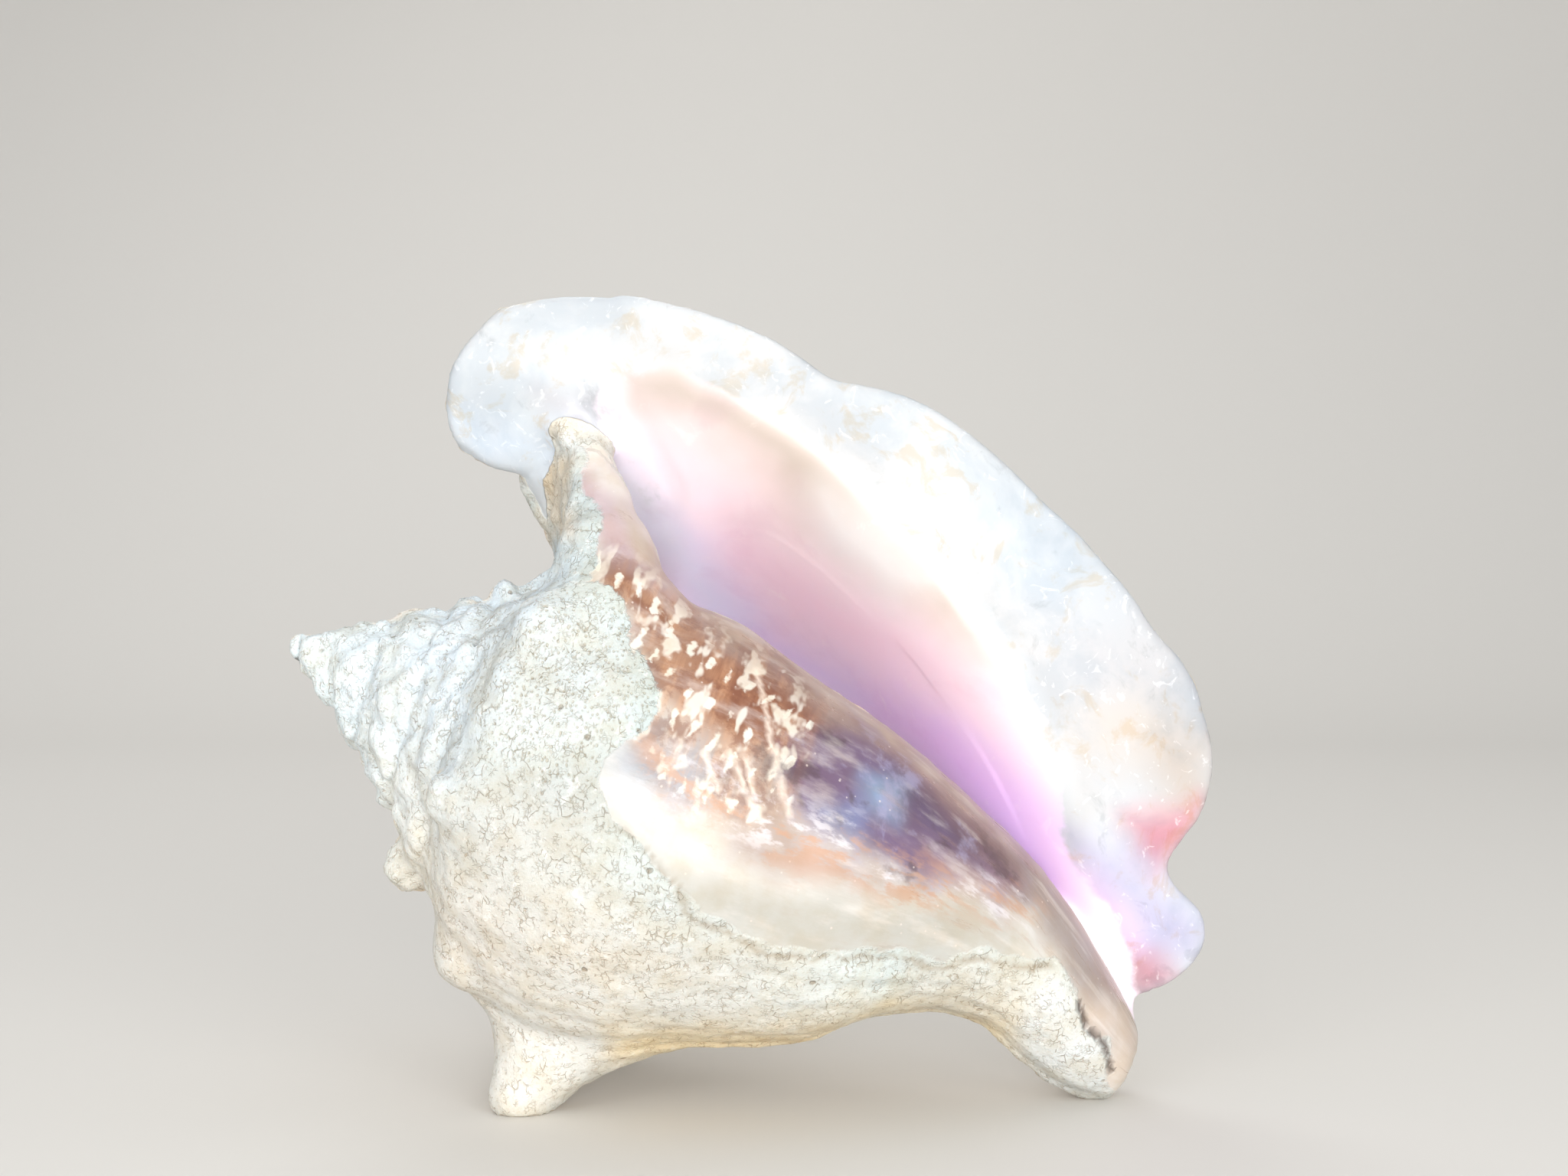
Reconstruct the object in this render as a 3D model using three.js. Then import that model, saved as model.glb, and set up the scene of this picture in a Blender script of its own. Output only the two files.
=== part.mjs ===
// Queen conch shell: one grown piece, lying mouth forward on two shoulder
// spines and the tip of its siphonal canal.
//
// Units are millimetres, +Z is up, +X runs from the spire to the canal, +Y runs
// from the mouth to the back. The origin is under the middle of the shell, on
// the surface that it lies on.
//
// The solid is one blended body: a coiled spire and body whorl, a thin outer
// wall that turns round the back and leaves the mouth open, a flared lip, a
// callus column between the body and the lip, and blunt knobs and spines.
import * as THREE from 'three';

// ---------------------------------------------------------------- dimensions
const SHELL_LENGTH = 220;          // apex to canal tip, along the coil axis
const AXIS_TILT_DEG = 22;          // the coil axis dips towards the canal
const APEX = [-113.5, 0, 106.4];   // tip of the spire before centring
const CENTRE_X = -6.73;            // moves the middle of the shell onto X = 0
const CENTRE_Y = 18.12;            // and onto Y = 0
const WALL = 5.0;                  // thickness of the outer wall
const LIP_INNER = 6.0;             // lip thickness where it leaves the wall
const LIP_RIM = 3.6;               // lip thickness at the rim
const RIM_ROUND = 1.7;             // rounding of the rim
const CANAL_END = 216.8;           // axial place of the canal's end
const HANDOVER = 300;              // growth angle where the wall becomes the lip
const NODULES_PER_TURN = 8.5;      // small knobs on the spire
const FOOT_WEAR = 0.45;            // the feet are flat up to here
const GRID = 2.1;                  // sampling step of the solid
const TRIANGLES = 8600;            // facets kept
const LONGEST_EDGE = 15;           // facets stay shorter than this

// Middle line of the canal, which bends down and back: axial place, offset.
const BEND_A = [0, 140, 156, 168, 180, 190, 200, 210, 218, 226], BEND_P = [0, 0, 0.3, 1.0, 3.8, 8.0, 12.8, 17.0, 19.8, 21.5];
const BACK_A = [0, 170, 190, 205, 218, 226], BACK_Y = [0, 0, 1.5, 4.0, 7.0, 8.5];

// Suture of the coil: turn, axial place, radius.
const SUT_T = [-5.5, -5, -4.5, -4, -3.5, -3, -2.5, -2, -1.5, -1, -0.5, 0, 0.25, 0.5, 0.75, 1.0];
const SUT_A = [0.8, 2.0, 3.8, 6.0, 8.4, 11.3, 14.6, 19.2, 24.0, 30.2, 37.2, 39.6, 45.2, 50.5, 55.0, 56.0];
const SUT_R = [1.8, 3.0, 4.2, 5.4, 6.6, 8.4, 10.6, 12.8, 16.4, 19.6, 26.0, 25.6, 31.5, 39.0, 42.0, 42.0];

// Radius of the body whorl: rows at axial places, columns at growth angles.
const BODY_A = [40, 46, 52, 58, 64, 70, 76, 82, 88, 94, 104, 114, 124, 134, 144, 154, 164, 174, 184, 194, 204, 212, 219, 224];
const BODY_T = [-180, -135, -90, -45, 0, 45, 90, 135, 180, 225, 270, 315, 360];
const BODY_R = [
  [27.5, 27.5, 27.5, 27, 26.5, 30, 31, 32, 33, 36, 38, 38, 36],
  [30, 30, 30, 30.5, 31, 35.5, 37.5, 36, 37, 38, 40, 40, 38],
  [32, 32, 32.5, 33.5, 35, 41, 44, 44, 42, 42, 42, 42, 40],
  [33.5, 33.5, 34.5, 36, 37.5, 43.5, 46.5, 49, 50, 48, 46, 44, 42],
  [35, 35, 36, 37.5, 39, 45, 48, 51.5, 55, 56, 55, 52, 49],
  [36, 36, 37, 38.5, 40.5, 46.5, 49.5, 53.5, 59, 62.5, 63, 61, 57],
  [36.5, 36.5, 38, 39.5, 42, 47.5, 50.5, 55, 61.5, 66.5, 69, 68, 63],
  [37, 37, 38, 40, 43, 48, 51, 56, 62.5, 68.5, 72.5, 72.5, 66],
  [37, 37, 38, 40, 43.2, 48, 51, 56, 62.5, 69.5, 74, 74.5, 68],
  [36.5, 36.5, 38, 40, 43, 47.5, 50.5, 55.5, 61.5, 69, 74, 75.5, 68],
  [35, 35, 36.5, 38.5, 40.8, 45.8, 49.5, 53.5, 58.5, 66, 72, 74, 67],
  [33, 33, 34.5, 36.5, 38, 43.5, 47, 50.3, 53, 61.5, 68, 71, 65],
  [30.5, 30.5, 32, 34, 36, 41, 44, 47, 49.2, 56, 62.5, 66, 61],
  [28, 28, 30, 32, 33.8, 38.5, 41, 43.5, 45, 50, 56, 60, 56],
  [25.5, 25.5, 27.5, 29.5, 31, 35, 37, 39, 39.3, 43.5, 49, 53, 50],
  [22.5, 22.5, 24.5, 26, 27.6, 30.8, 32, 32, 29.5, 35.5, 41.5, 45, 42],
  [19.5, 19.5, 21, 22.5, 24.3, 26.5, 26.5, 25.5, 23.6, 28.5, 34, 37, 35],
  [16.5, 16.5, 17.8, 19.5, 21.8, 22.8, 22.3, 20.5, 18.8, 23, 27.5, 30, 28],
  [14, 14, 15, 17, 19.8, 19.8, 18.8, 17.5, 17.2, 19.5, 22.5, 24.5, 23],
  [12, 12, 13, 14.8, 17.6, 17.8, 17, 16.6, 16.5, 17.5, 19, 20, 19],
  [10, 10, 11, 12.4, 14.6, 15, 14.8, 14.6, 14.2, 14.6, 15.2, 15.8, 15.4],
  [8, 8, 8.6, 9.8, 11.2, 11.8, 11.8, 11.6, 11, 11, 11.2, 11.6, 11.4],
  [5, 5, 5.4, 6, 6.8, 7.2, 7.2, 7, 6.4, 6, 6.2, 6.4, 6.6],
  [1, 1, 1, 1, 1, 1, 1, 1, 1, 1, 1, 1, 1],
];

// Outline of the flared lip in the XZ plane, from the lobe round to the canal.
const LIP_RIMLINE = [
  [-52.4, 149.5],
  [-56.8, 147.7],
  [-61.8, 146.6],
  [-65.6, 147.2],
  [-71.3, 148.7],
  [-75.8, 151.9],
  [-79, 154.3],
  [-80.4, 158.8],
  [-79.9, 165.9],
  [-78.4, 171.3],
  [-75.9, 175.9],
  [-71.9, 180.9],
  [-66.8, 185.2],
  [-62.2, 186.7],
  [-55.6, 187.8],
  [-48.1, 188.1],
  [-40.7, 187.8],
  [-38.8, 188.5],
  [-33.2, 187.6],
  [-22, 184.8],
  [-11, 181.2],
  [-1.8, 177],
  [5.5, 172.2],
  [11.4, 168.4],
  [20.3, 166.9],
  [28.7, 164.7],
  [37.1, 160.6],
  [46.5, 153.8],
  [54, 147.3],
  [61.4, 139.8],
  [69.6, 132.4],
  [75.8, 124.9],
  [82.2, 117.2],
  [86.7, 110.2],
  [93.4, 102.8],
  [97.2, 96.3],
  [99, 89.8],
  [100.9, 82.4],
  [100.9, 76],
  [99.7, 71.4],
  [97.6, 66],
  [93.2, 60.7],
  [90, 56.3],
  [89.6, 53.3],
  [91.5, 49.9],
  [95.3, 46.1],
  [97.8, 43.3],
  [98.7, 37.8],
  [96.2, 32.4],
  [90.5, 27.7],
  [85.3, 25],
  [82.4, 22.7],
];
// Its hidden return inside the body whorl: axial place, offset from the axis.
const LIP_RETURN = [
  [215, 14],
  [208, 12],
  [198, 7],
  [186, 1.5],
  [172, -3],
  [156, -7],
  [140, -10],
  [124, -13],
  [108, -15],
  [92, -16],
  [78, -17],
  [66, -20],
  [57, -26],
];
// Its edge behind the callus column, in the XZ plane.
const LIP_BACK_EDGE = [
  [-50.3, 123.5],
  [-53.7, 131.1],
  [-55, 133.9],
  [-57.4, 138.7],
  [-59.7, 143.3],
  [-61.1, 146.5],
];
// Crest of the lip: axial place, offset from the axis, depth.
const CREST_A = [-5, 10, 25, 40, 50, 58, 66, 74, 84, 95, 112, 130, 146, 160, 174, 186, 198, 208, 216, 226];
const CREST_P = [-72, -76, -80, -85, -89, -91, -91, -90, -88.5, -86, -79, -70.5, -60.5, -51, -40.5, -30, -19, -10, -4, 4];
const CREST_Y = [11, 9, 7, 5, 3.5, 2.5, 2, 1.5, 1.5, 2, 2.2, 2.2, 2, 1.5, 1, 1, 1.5, 2, 3, 4];
// Where the lip leaves the wall, near the spire (the coiled wall gives the rest).
const ROOT_P = [-46, -46, -45, -44, -44, -42, -34, -30, null, null, null, null, null, null, null, null, null, null, null, null];
const ROOT_Y = [26, 28, 30, 33, 36, 44, 56, 62, null, null, null, null, null, null, null, null, null, null, null, null];
const ROOT_S = [0.9, 0.8, 0.7, 0.6, 0.6, 0.6, 0.6, 0.58, null, null, null, null, null, null, null, null, null, null, null, null];

// Round cones: first end, second end, first radius, second radius, blend.
const SPINES = [
  [-49.4, -0.8, 28.7, -60.5, -6.6, 3.8, 13.5, 7.2, 8],
  [-38.8, -0, 24.4, -52.9, -4.6, 10.9, 14, 7, 10],
  [-61.5, -14.4, 42.8, -70.9, -17.7, 38.3, 12, 7, 6],
  [-63.2, -32.7, 76, -71, -40.4, 76.7, 8, 4.4, 6],
  [-58.8, -38, 71, -63.9, -38.5, 74.5, 8, 7, 8],
  [-49.7, -26, 104.2, -53.3, -32.2, 111.2, 9, 4.6, 7],
  [-39.5, -24.4, 107.9, -47.4, -27.1, 109.9, 8, 7, 8],
  [-51.2, 37.5, 36.3, -62.5, 62.1, 3.1, 17, 6.2, 9],
  [-38.3, 40.3, 31, -50.8, 52.5, 16, 12, 6, 10],
  [-44.6, 56.3, 63.4, -54.7, 81.8, 62.3, 16, 5.6, 9],
  [-35.9, 52.6, 95.7, -44.6, 72.8, 108.7, 15, 5.6, 9],
  [-80.4, -0, 62.8, -86.9, -0, 54.2, 8, 5.6, 4],
  [-72.7, 2.8, 111.3, -74.6, 3.1, 114.7, 4, 2.6, 3],
  [-63.7, 0.8, 112.2, -64.9, 0, 118.6, 5, 3, 3],
  [-80.1, 19.8, 71.6, -83.4, 26.2, 66, 8, 5, 4],
  [-72.1, 28, 88.6, -73.7, 38, 88.9, 8, 5, 4],
  [-65, 20.1, 106.3, -65.3, 26, 112.2, 8, 4.6, 4],
];
const COLUMN = [
  [-38.3, -16, 115.9, -40.6, -10, 127.6, 14, 9.5, 8],
  [-40.6, -10, 127.6, -42.7, -2, 139.5, 9.5, 5.4, 6],
  [-42.7, -2, 139.5, -45.9, 5, 148.5, 5.4, 3.4, 8],
  [-45.9, 5, 148.5, -51, 9, 157, 3.4, 2, 9],
];
const WEB = [
  [-40.8, -4, 125.4, -49.5, 36, 124, 7.5, 4.2, 4.5],
  [-41.9, -3, 129.4, -52, 36, 127.9, 6.5, 4.2, 4.5],
  [-43, -1, 133.3, -53.9, 36, 131.7, 5.5, 4.2, 4.5],
  [-43.6, 0, 137.2, -55.3, 35, 135.5, 4.5, 4.2, 4.5],
  [-44.7, 2, 141.4, -56.9, 34, 139.3, 3.6, 4.2, 4.5],
  [-45.6, 4, 145.6, -58.4, 32, 143, 3.2, 4.2, 4.5],
  [-46.5, 6, 149.2, -59.9, 29, 146.7, 3, 4.2, 4.5],
];
const POSTERIOR_FILL = [
  [-51.8, 41.1, 90.9, -44.1, 32.7, 110.1, 11, 11.5, 8],
  [-44.1, 32.7, 110.1, -41.3, 17.5, 119.6, 11.5, 10, 10],
  [-41.3, 17.5, 119.6, -40.4, 0, 120.2, 10, 8.5, 10],
];

// ------------------------------------------------------------------- helpers
const RAD = Math.PI / 180;
const clamp = (x, a, b) => Math.min(b, Math.max(a, x));
const smooth = (a, b, x) => { const t = clamp((x - a) / (b - a), 0, 1); return t * t * (3 - 2 * t); };
const smin = (a, b, k) => { const h = clamp(0.5 + 0.5 * (b - a) / k, 0, 1); return b + (a - b) * h - k * h * (1 - h); };
const smax = (a, b, k) => -smin(-a, -b, k);
const lin = (xs, ys, x) => {
  if (x <= xs[0]) return ys[0];
  for (let i = 1; i < xs.length; i++) if (x <= xs[i]) return ys[i - 1] + (ys[i] - ys[i - 1]) * (x - xs[i - 1]) / (xs[i] - xs[i - 1]);
  return ys[ys.length - 1];
};
// smooth curve through given values
function cubic(xs, ys, x0) {
  const n = xs.length, x = clamp(x0, xs[0], xs[n - 1]);
  let i = 0;
  while (i < n - 2 && x >= xs[i + 1]) i++;
  const h = (k) => xs[k + 1] - xs[k], d = (k) => (ys[k + 1] - ys[k]) / h(k);
  const m = (k) => k === 0 ? d(0) : k === n - 1 ? d(n - 2) : (d(k - 1) * h(k) + d(k) * h(k - 1)) / (h(k) + h(k - 1));
  const t = (x - xs[i]) / h(i);
  return (2 * t ** 3 - 3 * t * t + 1) * ys[i] + (t ** 3 - 2 * t * t + t) * h(i) * m(i)
    + (3 * t * t - 2 * t ** 3) * ys[i + 1] + (t ** 3 - t * t) * h(i) * m(i + 1);
}
// table on an even grid, read between its points
class Grid {
  constructor(x0, x1, dx, y0, y1, dy, fn) {
    Object.assign(this, { x0, dx, y0, dy, nx: Math.round((x1 - x0) / dx) + 1, ny: Math.round((y1 - y0) / dy) + 1 });
    this.v = new Float64Array(this.nx * this.ny);
    for (let i = 0; i < this.nx; i++) for (let j = 0; j < this.ny; j++) this.v[i * this.ny + j] = fn(x0 + i * dx, y0 + j * dy, i, j);
  }
  at(x, y) {
    const u = clamp((x - this.x0) / this.dx, 0, this.nx - 1.001), w = clamp((y - this.y0) / this.dy, 0, this.ny - 1.001);
    const i = Math.floor(u), j = Math.floor(w), fx = u - i, fy = w - j, k = i * this.ny + j, v = this.v, n = this.ny;
    return (v[k] * (1 - fx) + v[k + n] * fx) * (1 - fy) + (v[k + 1] * (1 - fx) + v[k + n + 1] * fx) * fy;
  }
}
const CU = Math.cos(AXIS_TILT_DEG * RAD), SU = Math.sin(AXIS_TILT_DEG * RAD);
const toAxis = (x, y, z) => [(x - APEX[0]) * CU - (z - APEX[2]) * SU, -(x - APEX[0]) * SU - (z - APEX[2]) * CU, y];
const fromAxis = (a, p) => [APEX[0] + a * CU - p * SU, APEX[2] - a * SU - p * CU];

// ------------------------------------------------------------- spire and body
const rowCurve = BODY_T.map((_, c) => BODY_A.map((_, r) => BODY_R[r][c]));
const BODY = (() => {
  const fine = [];
  for (let i = 0; i <= 380; i++) fine.push(rowCurve.map((col) => cubic(BODY_A, col, 36 + i * 0.5)));
  return new Grid(36, 226, 0.5, -180, 360, 1.5, (a, t, i) => cubic(BODY_T, fine[i], t));
})();
const SUTURE = new Grid(-5.5, 1.02, 0.02, 0, 1, 1, (t, j) => j === 0 ? cubic(SUT_T, SUT_A, t) : cubic(SUT_T, SUT_R, t));
const sutA = (t) => SUTURE.at(t, 0), sutR = (t) => SUTURE.at(t, 0.998999);

function spire(a, th) {
  let R = -5;
  for (let k = 0; k < 7; k++) {
    const t1 = th / 360 - k, t0 = t1 - 1;
    if (t0 < -5.5) continue;
    const a0 = sutA(t0), a1 = sutA(t1), L = a1 - a0, s = (a - a0) / Math.max(L, 1e-3);
    if (s < 0 || s > 1) continue;
    const r0 = sutR(t0), r1 = sutR(t1);
    const bulge = 0.17 * L * Math.pow(clamp(4 * s * (1 - s), 0, 1), 0.75);
    const knob = 0.13 * L * Math.exp(-(((s - 0.7) / 0.22) ** 2)) * clamp(Math.cos(t0 * NODULES_PER_TURN * 2 * Math.PI + 0.6), -0.2, 1) * smooth(-5, -2.5, t0);
    R = Math.max(R, r0 + (r1 - r0) * s + bulge + knob);
  }
  if (a < 2 && a > -1.2) R = Math.max(R, Math.sqrt(Math.max(0, (a + 1.2) * 2.4)) * 0.95);
  return R;
}
function whorl(a, th) {
  const a0 = sutA(th / 360);
  if (a < a0) return -5;
  const r0 = sutR(th / 360), w = cubic([0, 90, 150, 180, 270, 360], [9, 9, 13, 16, 18, 15], th);
  const s = clamp((a - a0) / w, 0, 1);
  return r0 + (BODY.at(a, th) - r0) * Math.sqrt(Math.max(0, 1 - (1 - s) ** 2));
}

// ---------------------------------------------------------------- flared lip
const rootP = [], rootY = [], rootS = [];
CREST_A.forEach((a, i) => {
  if (ROOT_P[i] !== null) { rootP.push(ROOT_P[i]); rootY.push(ROOT_Y[i]); rootS.push(ROOT_S[i]); return; }
  const pt = (ang) => { const R = whorl(a, ang) - WALL / 2; return [lin(BEND_A, BEND_P, a) - R * Math.cos(ang * RAD), lin(BACK_A, BACK_Y, a) - R * Math.sin(ang * RAD)]; };
  const [p1, y1] = pt(HANDOVER), [p2, y2] = pt(HANDOVER + 4);
  rootP.push(p1); rootY.push(y1); rootS.push((y2 - y1) / (p2 - p1));
});
const CREST_SLOPE = 0.10;
const curves = [];
for (let a = -10; a <= 240; a++) curves.push([cubic(CREST_A, CREST_P, a), cubic(CREST_A, CREST_Y, a), cubic(CREST_A, rootP, a), cubic(CREST_A, rootY, a), cubic(CREST_A, rootS, a), cubic([-10, 20, 60, 100, 140, 180, 210, 230], [0.010, 0.011, 0.010, 0.012, 0.012, 0.006, 0.006, 0.006], a)]);
let DEPTH = new Grid(-10, 240, 1, -130, 60, 1, (a, p, i) => {
  const [cp, cy, ip, iy, is, curl] = curves[i];
  if (p > ip) {                                     // inside the coiled wall
    const b = clamp(p - ip, 0, 60), near = iy + is * b - 0.006 * b * b;
    const pp = p - lin(BEND_A, BEND_P, a), yy = lin(BACK_A, BACK_Y, a);
    let y = iy - yy;
    for (let k = 0; k < 12; k++) {
      const ps = ((Math.atan2(-y, -pp) / RAD) % 360 + 360) % 360;
      const R = whorl(a, clamp(ps, 150, 330)) - WALL / 2;
      y = 0.5 * y + 0.5 * Math.sqrt(Math.max(25, R * R - pp * pp));
    }
    const w = smooth(72, 82, a);
    return near * (1 - w) + (y + yy) * w;
  }
  const d = cp - p;
  if (d > 0) { const e = clamp(d, 0, 60); return cy - CREST_SLOPE * e * Math.exp(-e / 6) + curl * e * e * Math.exp(-e / 70); }
  const h = cp - ip, t = clamp((p - ip) / h, 0, 1);
  return (2 * t ** 3 - 3 * t * t + 1) * iy + (t ** 3 - 2 * t * t + t) * h * is + (3 * t * t - 2 * t ** 3) * cy + (t ** 3 - t * t) * h * CREST_SLOPE;
});
for (let pass = 0; pass < 3; pass++) {
  const g = DEPTH, n = g.ny, get = (i, j) => g.v[clamp(i, 0, g.nx - 1) * n + clamp(j, 0, n - 1)];
  DEPTH = new Grid(-10, 240, 1, -130, 60, 1, (a, p, i, j) => (4 * get(i, j) + get(i - 1, j) + get(i + 1, j) + get(i, j - 1) + get(i, j + 1)) / 8);
}
const SLANT = new Grid(-10, 240, 1, -130, 60, 1, (a, p) => {
  const da = (DEPTH.at(a + 1, p) - DEPTH.at(a - 1, p)) / 2, dp = (DEPTH.at(a, p + 1) - DEPTH.at(a, p - 1)) / 2;
  return Math.sqrt(1 + da * da + dp * dp);
});
const outline = (() => {
  const pts = [...LIP_RIMLINE, ...LIP_RETURN.map(([a, p]) => fromAxis(a, p)), ...LIP_BACK_EDGE], N = pts.length, out = [];
  for (let i = 0; i < N; i++) {
    const [a, b, c, d] = [pts[(i + N - 1) % N], pts[i], pts[(i + 1) % N], pts[(i + 2) % N]];
    for (let j = 0; j < 3; j++) {
      const t = j / 3;
      out.push([0, 1].map((k) => 0.5 * (2 * b[k] + (c[k] - a[k]) * t + (2 * a[k] - 5 * b[k] + 4 * c[k] - d[k]) * t * t + (3 * b[k] - a[k] - 3 * c[k] + d[k]) * t ** 3)));
    }
  }
  return out;
})();
const EDGE = new Grid(-120, 130, 1, -20, 210, 1, (x, z) => {   // distance to the outline, negative inside
  let best = 1e9, inside = false;
  for (let i = 0; i < outline.length; i++) {
    const [x1, z1] = outline[i], [x2, z2] = outline[(i + 1) % outline.length], ex = x2 - x1, ez = z2 - z1;
    const t = clamp(((x - x1) * ex + (z - z1) * ez) / (ex * ex + ez * ez + 1e-12), 0, 1);
    best = Math.min(best, (x - x1 - t * ex) ** 2 + (z - z1 - t * ez) ** 2);
    if ((z1 > z) !== (z2 > z) && x < ex * (z - z1) / (ez + 1e-12) + x1) inside = !inside;
  }
  return inside ? -Math.sqrt(best) : Math.sqrt(best);
});

// ----------------------------------------------------------- the whole solid
function cone(x, y, z, c) {
  const dx = c[3] - c[0], dy = c[4] - c[1], dz = c[5] - c[2];
  const t = clamp(((x - c[0]) * dx + (y - c[1]) * dy + (z - c[2]) * dz) / (dx * dx + dy * dy + dz * dz), 0, 1);
  return Math.hypot(x - c[0] - t * dx, y - c[1] - t * dy, z - c[2] - t * dz) - (c[6] + (c[7] - c[6]) * t);
}
const rimThickness = (e) => cubic([-60, -25, -10, -3, 0], [LIP_INNER, 5.6, 5.0, 4.2, LIP_RIM], clamp(e, -60, 0));
function solid(x, y, z) {                 // negative inside
  const [a, p0] = toAxis(x, y, z);
  const p = p0 - lin(BEND_A, BEND_P, a), yc = y - lin(BACK_A, BACK_Y, a);
  const r = Math.hypot(p, yc), ps = ((Math.atan2(-yc, -p) / RAD) % 360 + 360) % 360;
  const a1 = sutA(ps / 360);
  let Rc;
  if (ps <= 180) Rc = a >= a1 ? whorl(a, ps) : spire(a, ps);
  else Rc = a < a1 ? Math.max(spire(a, ps), 0) : Math.max(BODY.at(a, ps - 360), -5);
  const end = (a - CANAL_END) * 0.95 + p * 0.06;
  let f = smax((r - Rc) * 0.8, end, 3);
  // outer wall: solid down to the core where the mouth's inner end closes
  const q = clamp(ps, 150, 330), R = whorl(a, q);
  let T = ps < 232 ? WALL + (1 - smooth(196, 232, ps)) * 45 : WALL;
  T += 45 * (1 - smooth(4, 16, a - sutA(q / 360)));
  T = Math.min(T, Math.max(R - 2, 1));
  let fw = Math.max(Math.abs(r - (R - T / 2)) - T / 2, Math.max(168 - ps, ps - HANDOVER - 0.5) * RAD * r) * 0.85;
  fw = smax(fw, end, 3);
  // flared lip
  const e = EDGE.at(x, z), t = rimThickness(e);
  const q1 = Math.abs(y - DEPTH.at(a, p0)) / SLANT.at(a, p0) - (t / 2 - RIM_ROUND), q2 = e + RIM_ROUND;
  const fl = Math.min(Math.max(q1, q2), 0) + Math.hypot(Math.max(q1, 0), Math.max(q2, 0)) - RIM_ROUND;
  f = smin(f, smin(fw, fl, 0.8), 3);
  for (const list of [POSTERIOR_FILL, COLUMN, WEB, SPINES]) for (const c of list) f = smin(f, cone(x, y, z, c), c[8]);
  return Math.max(f, -z);               // nothing reaches below the surface it lies on
}

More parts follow.
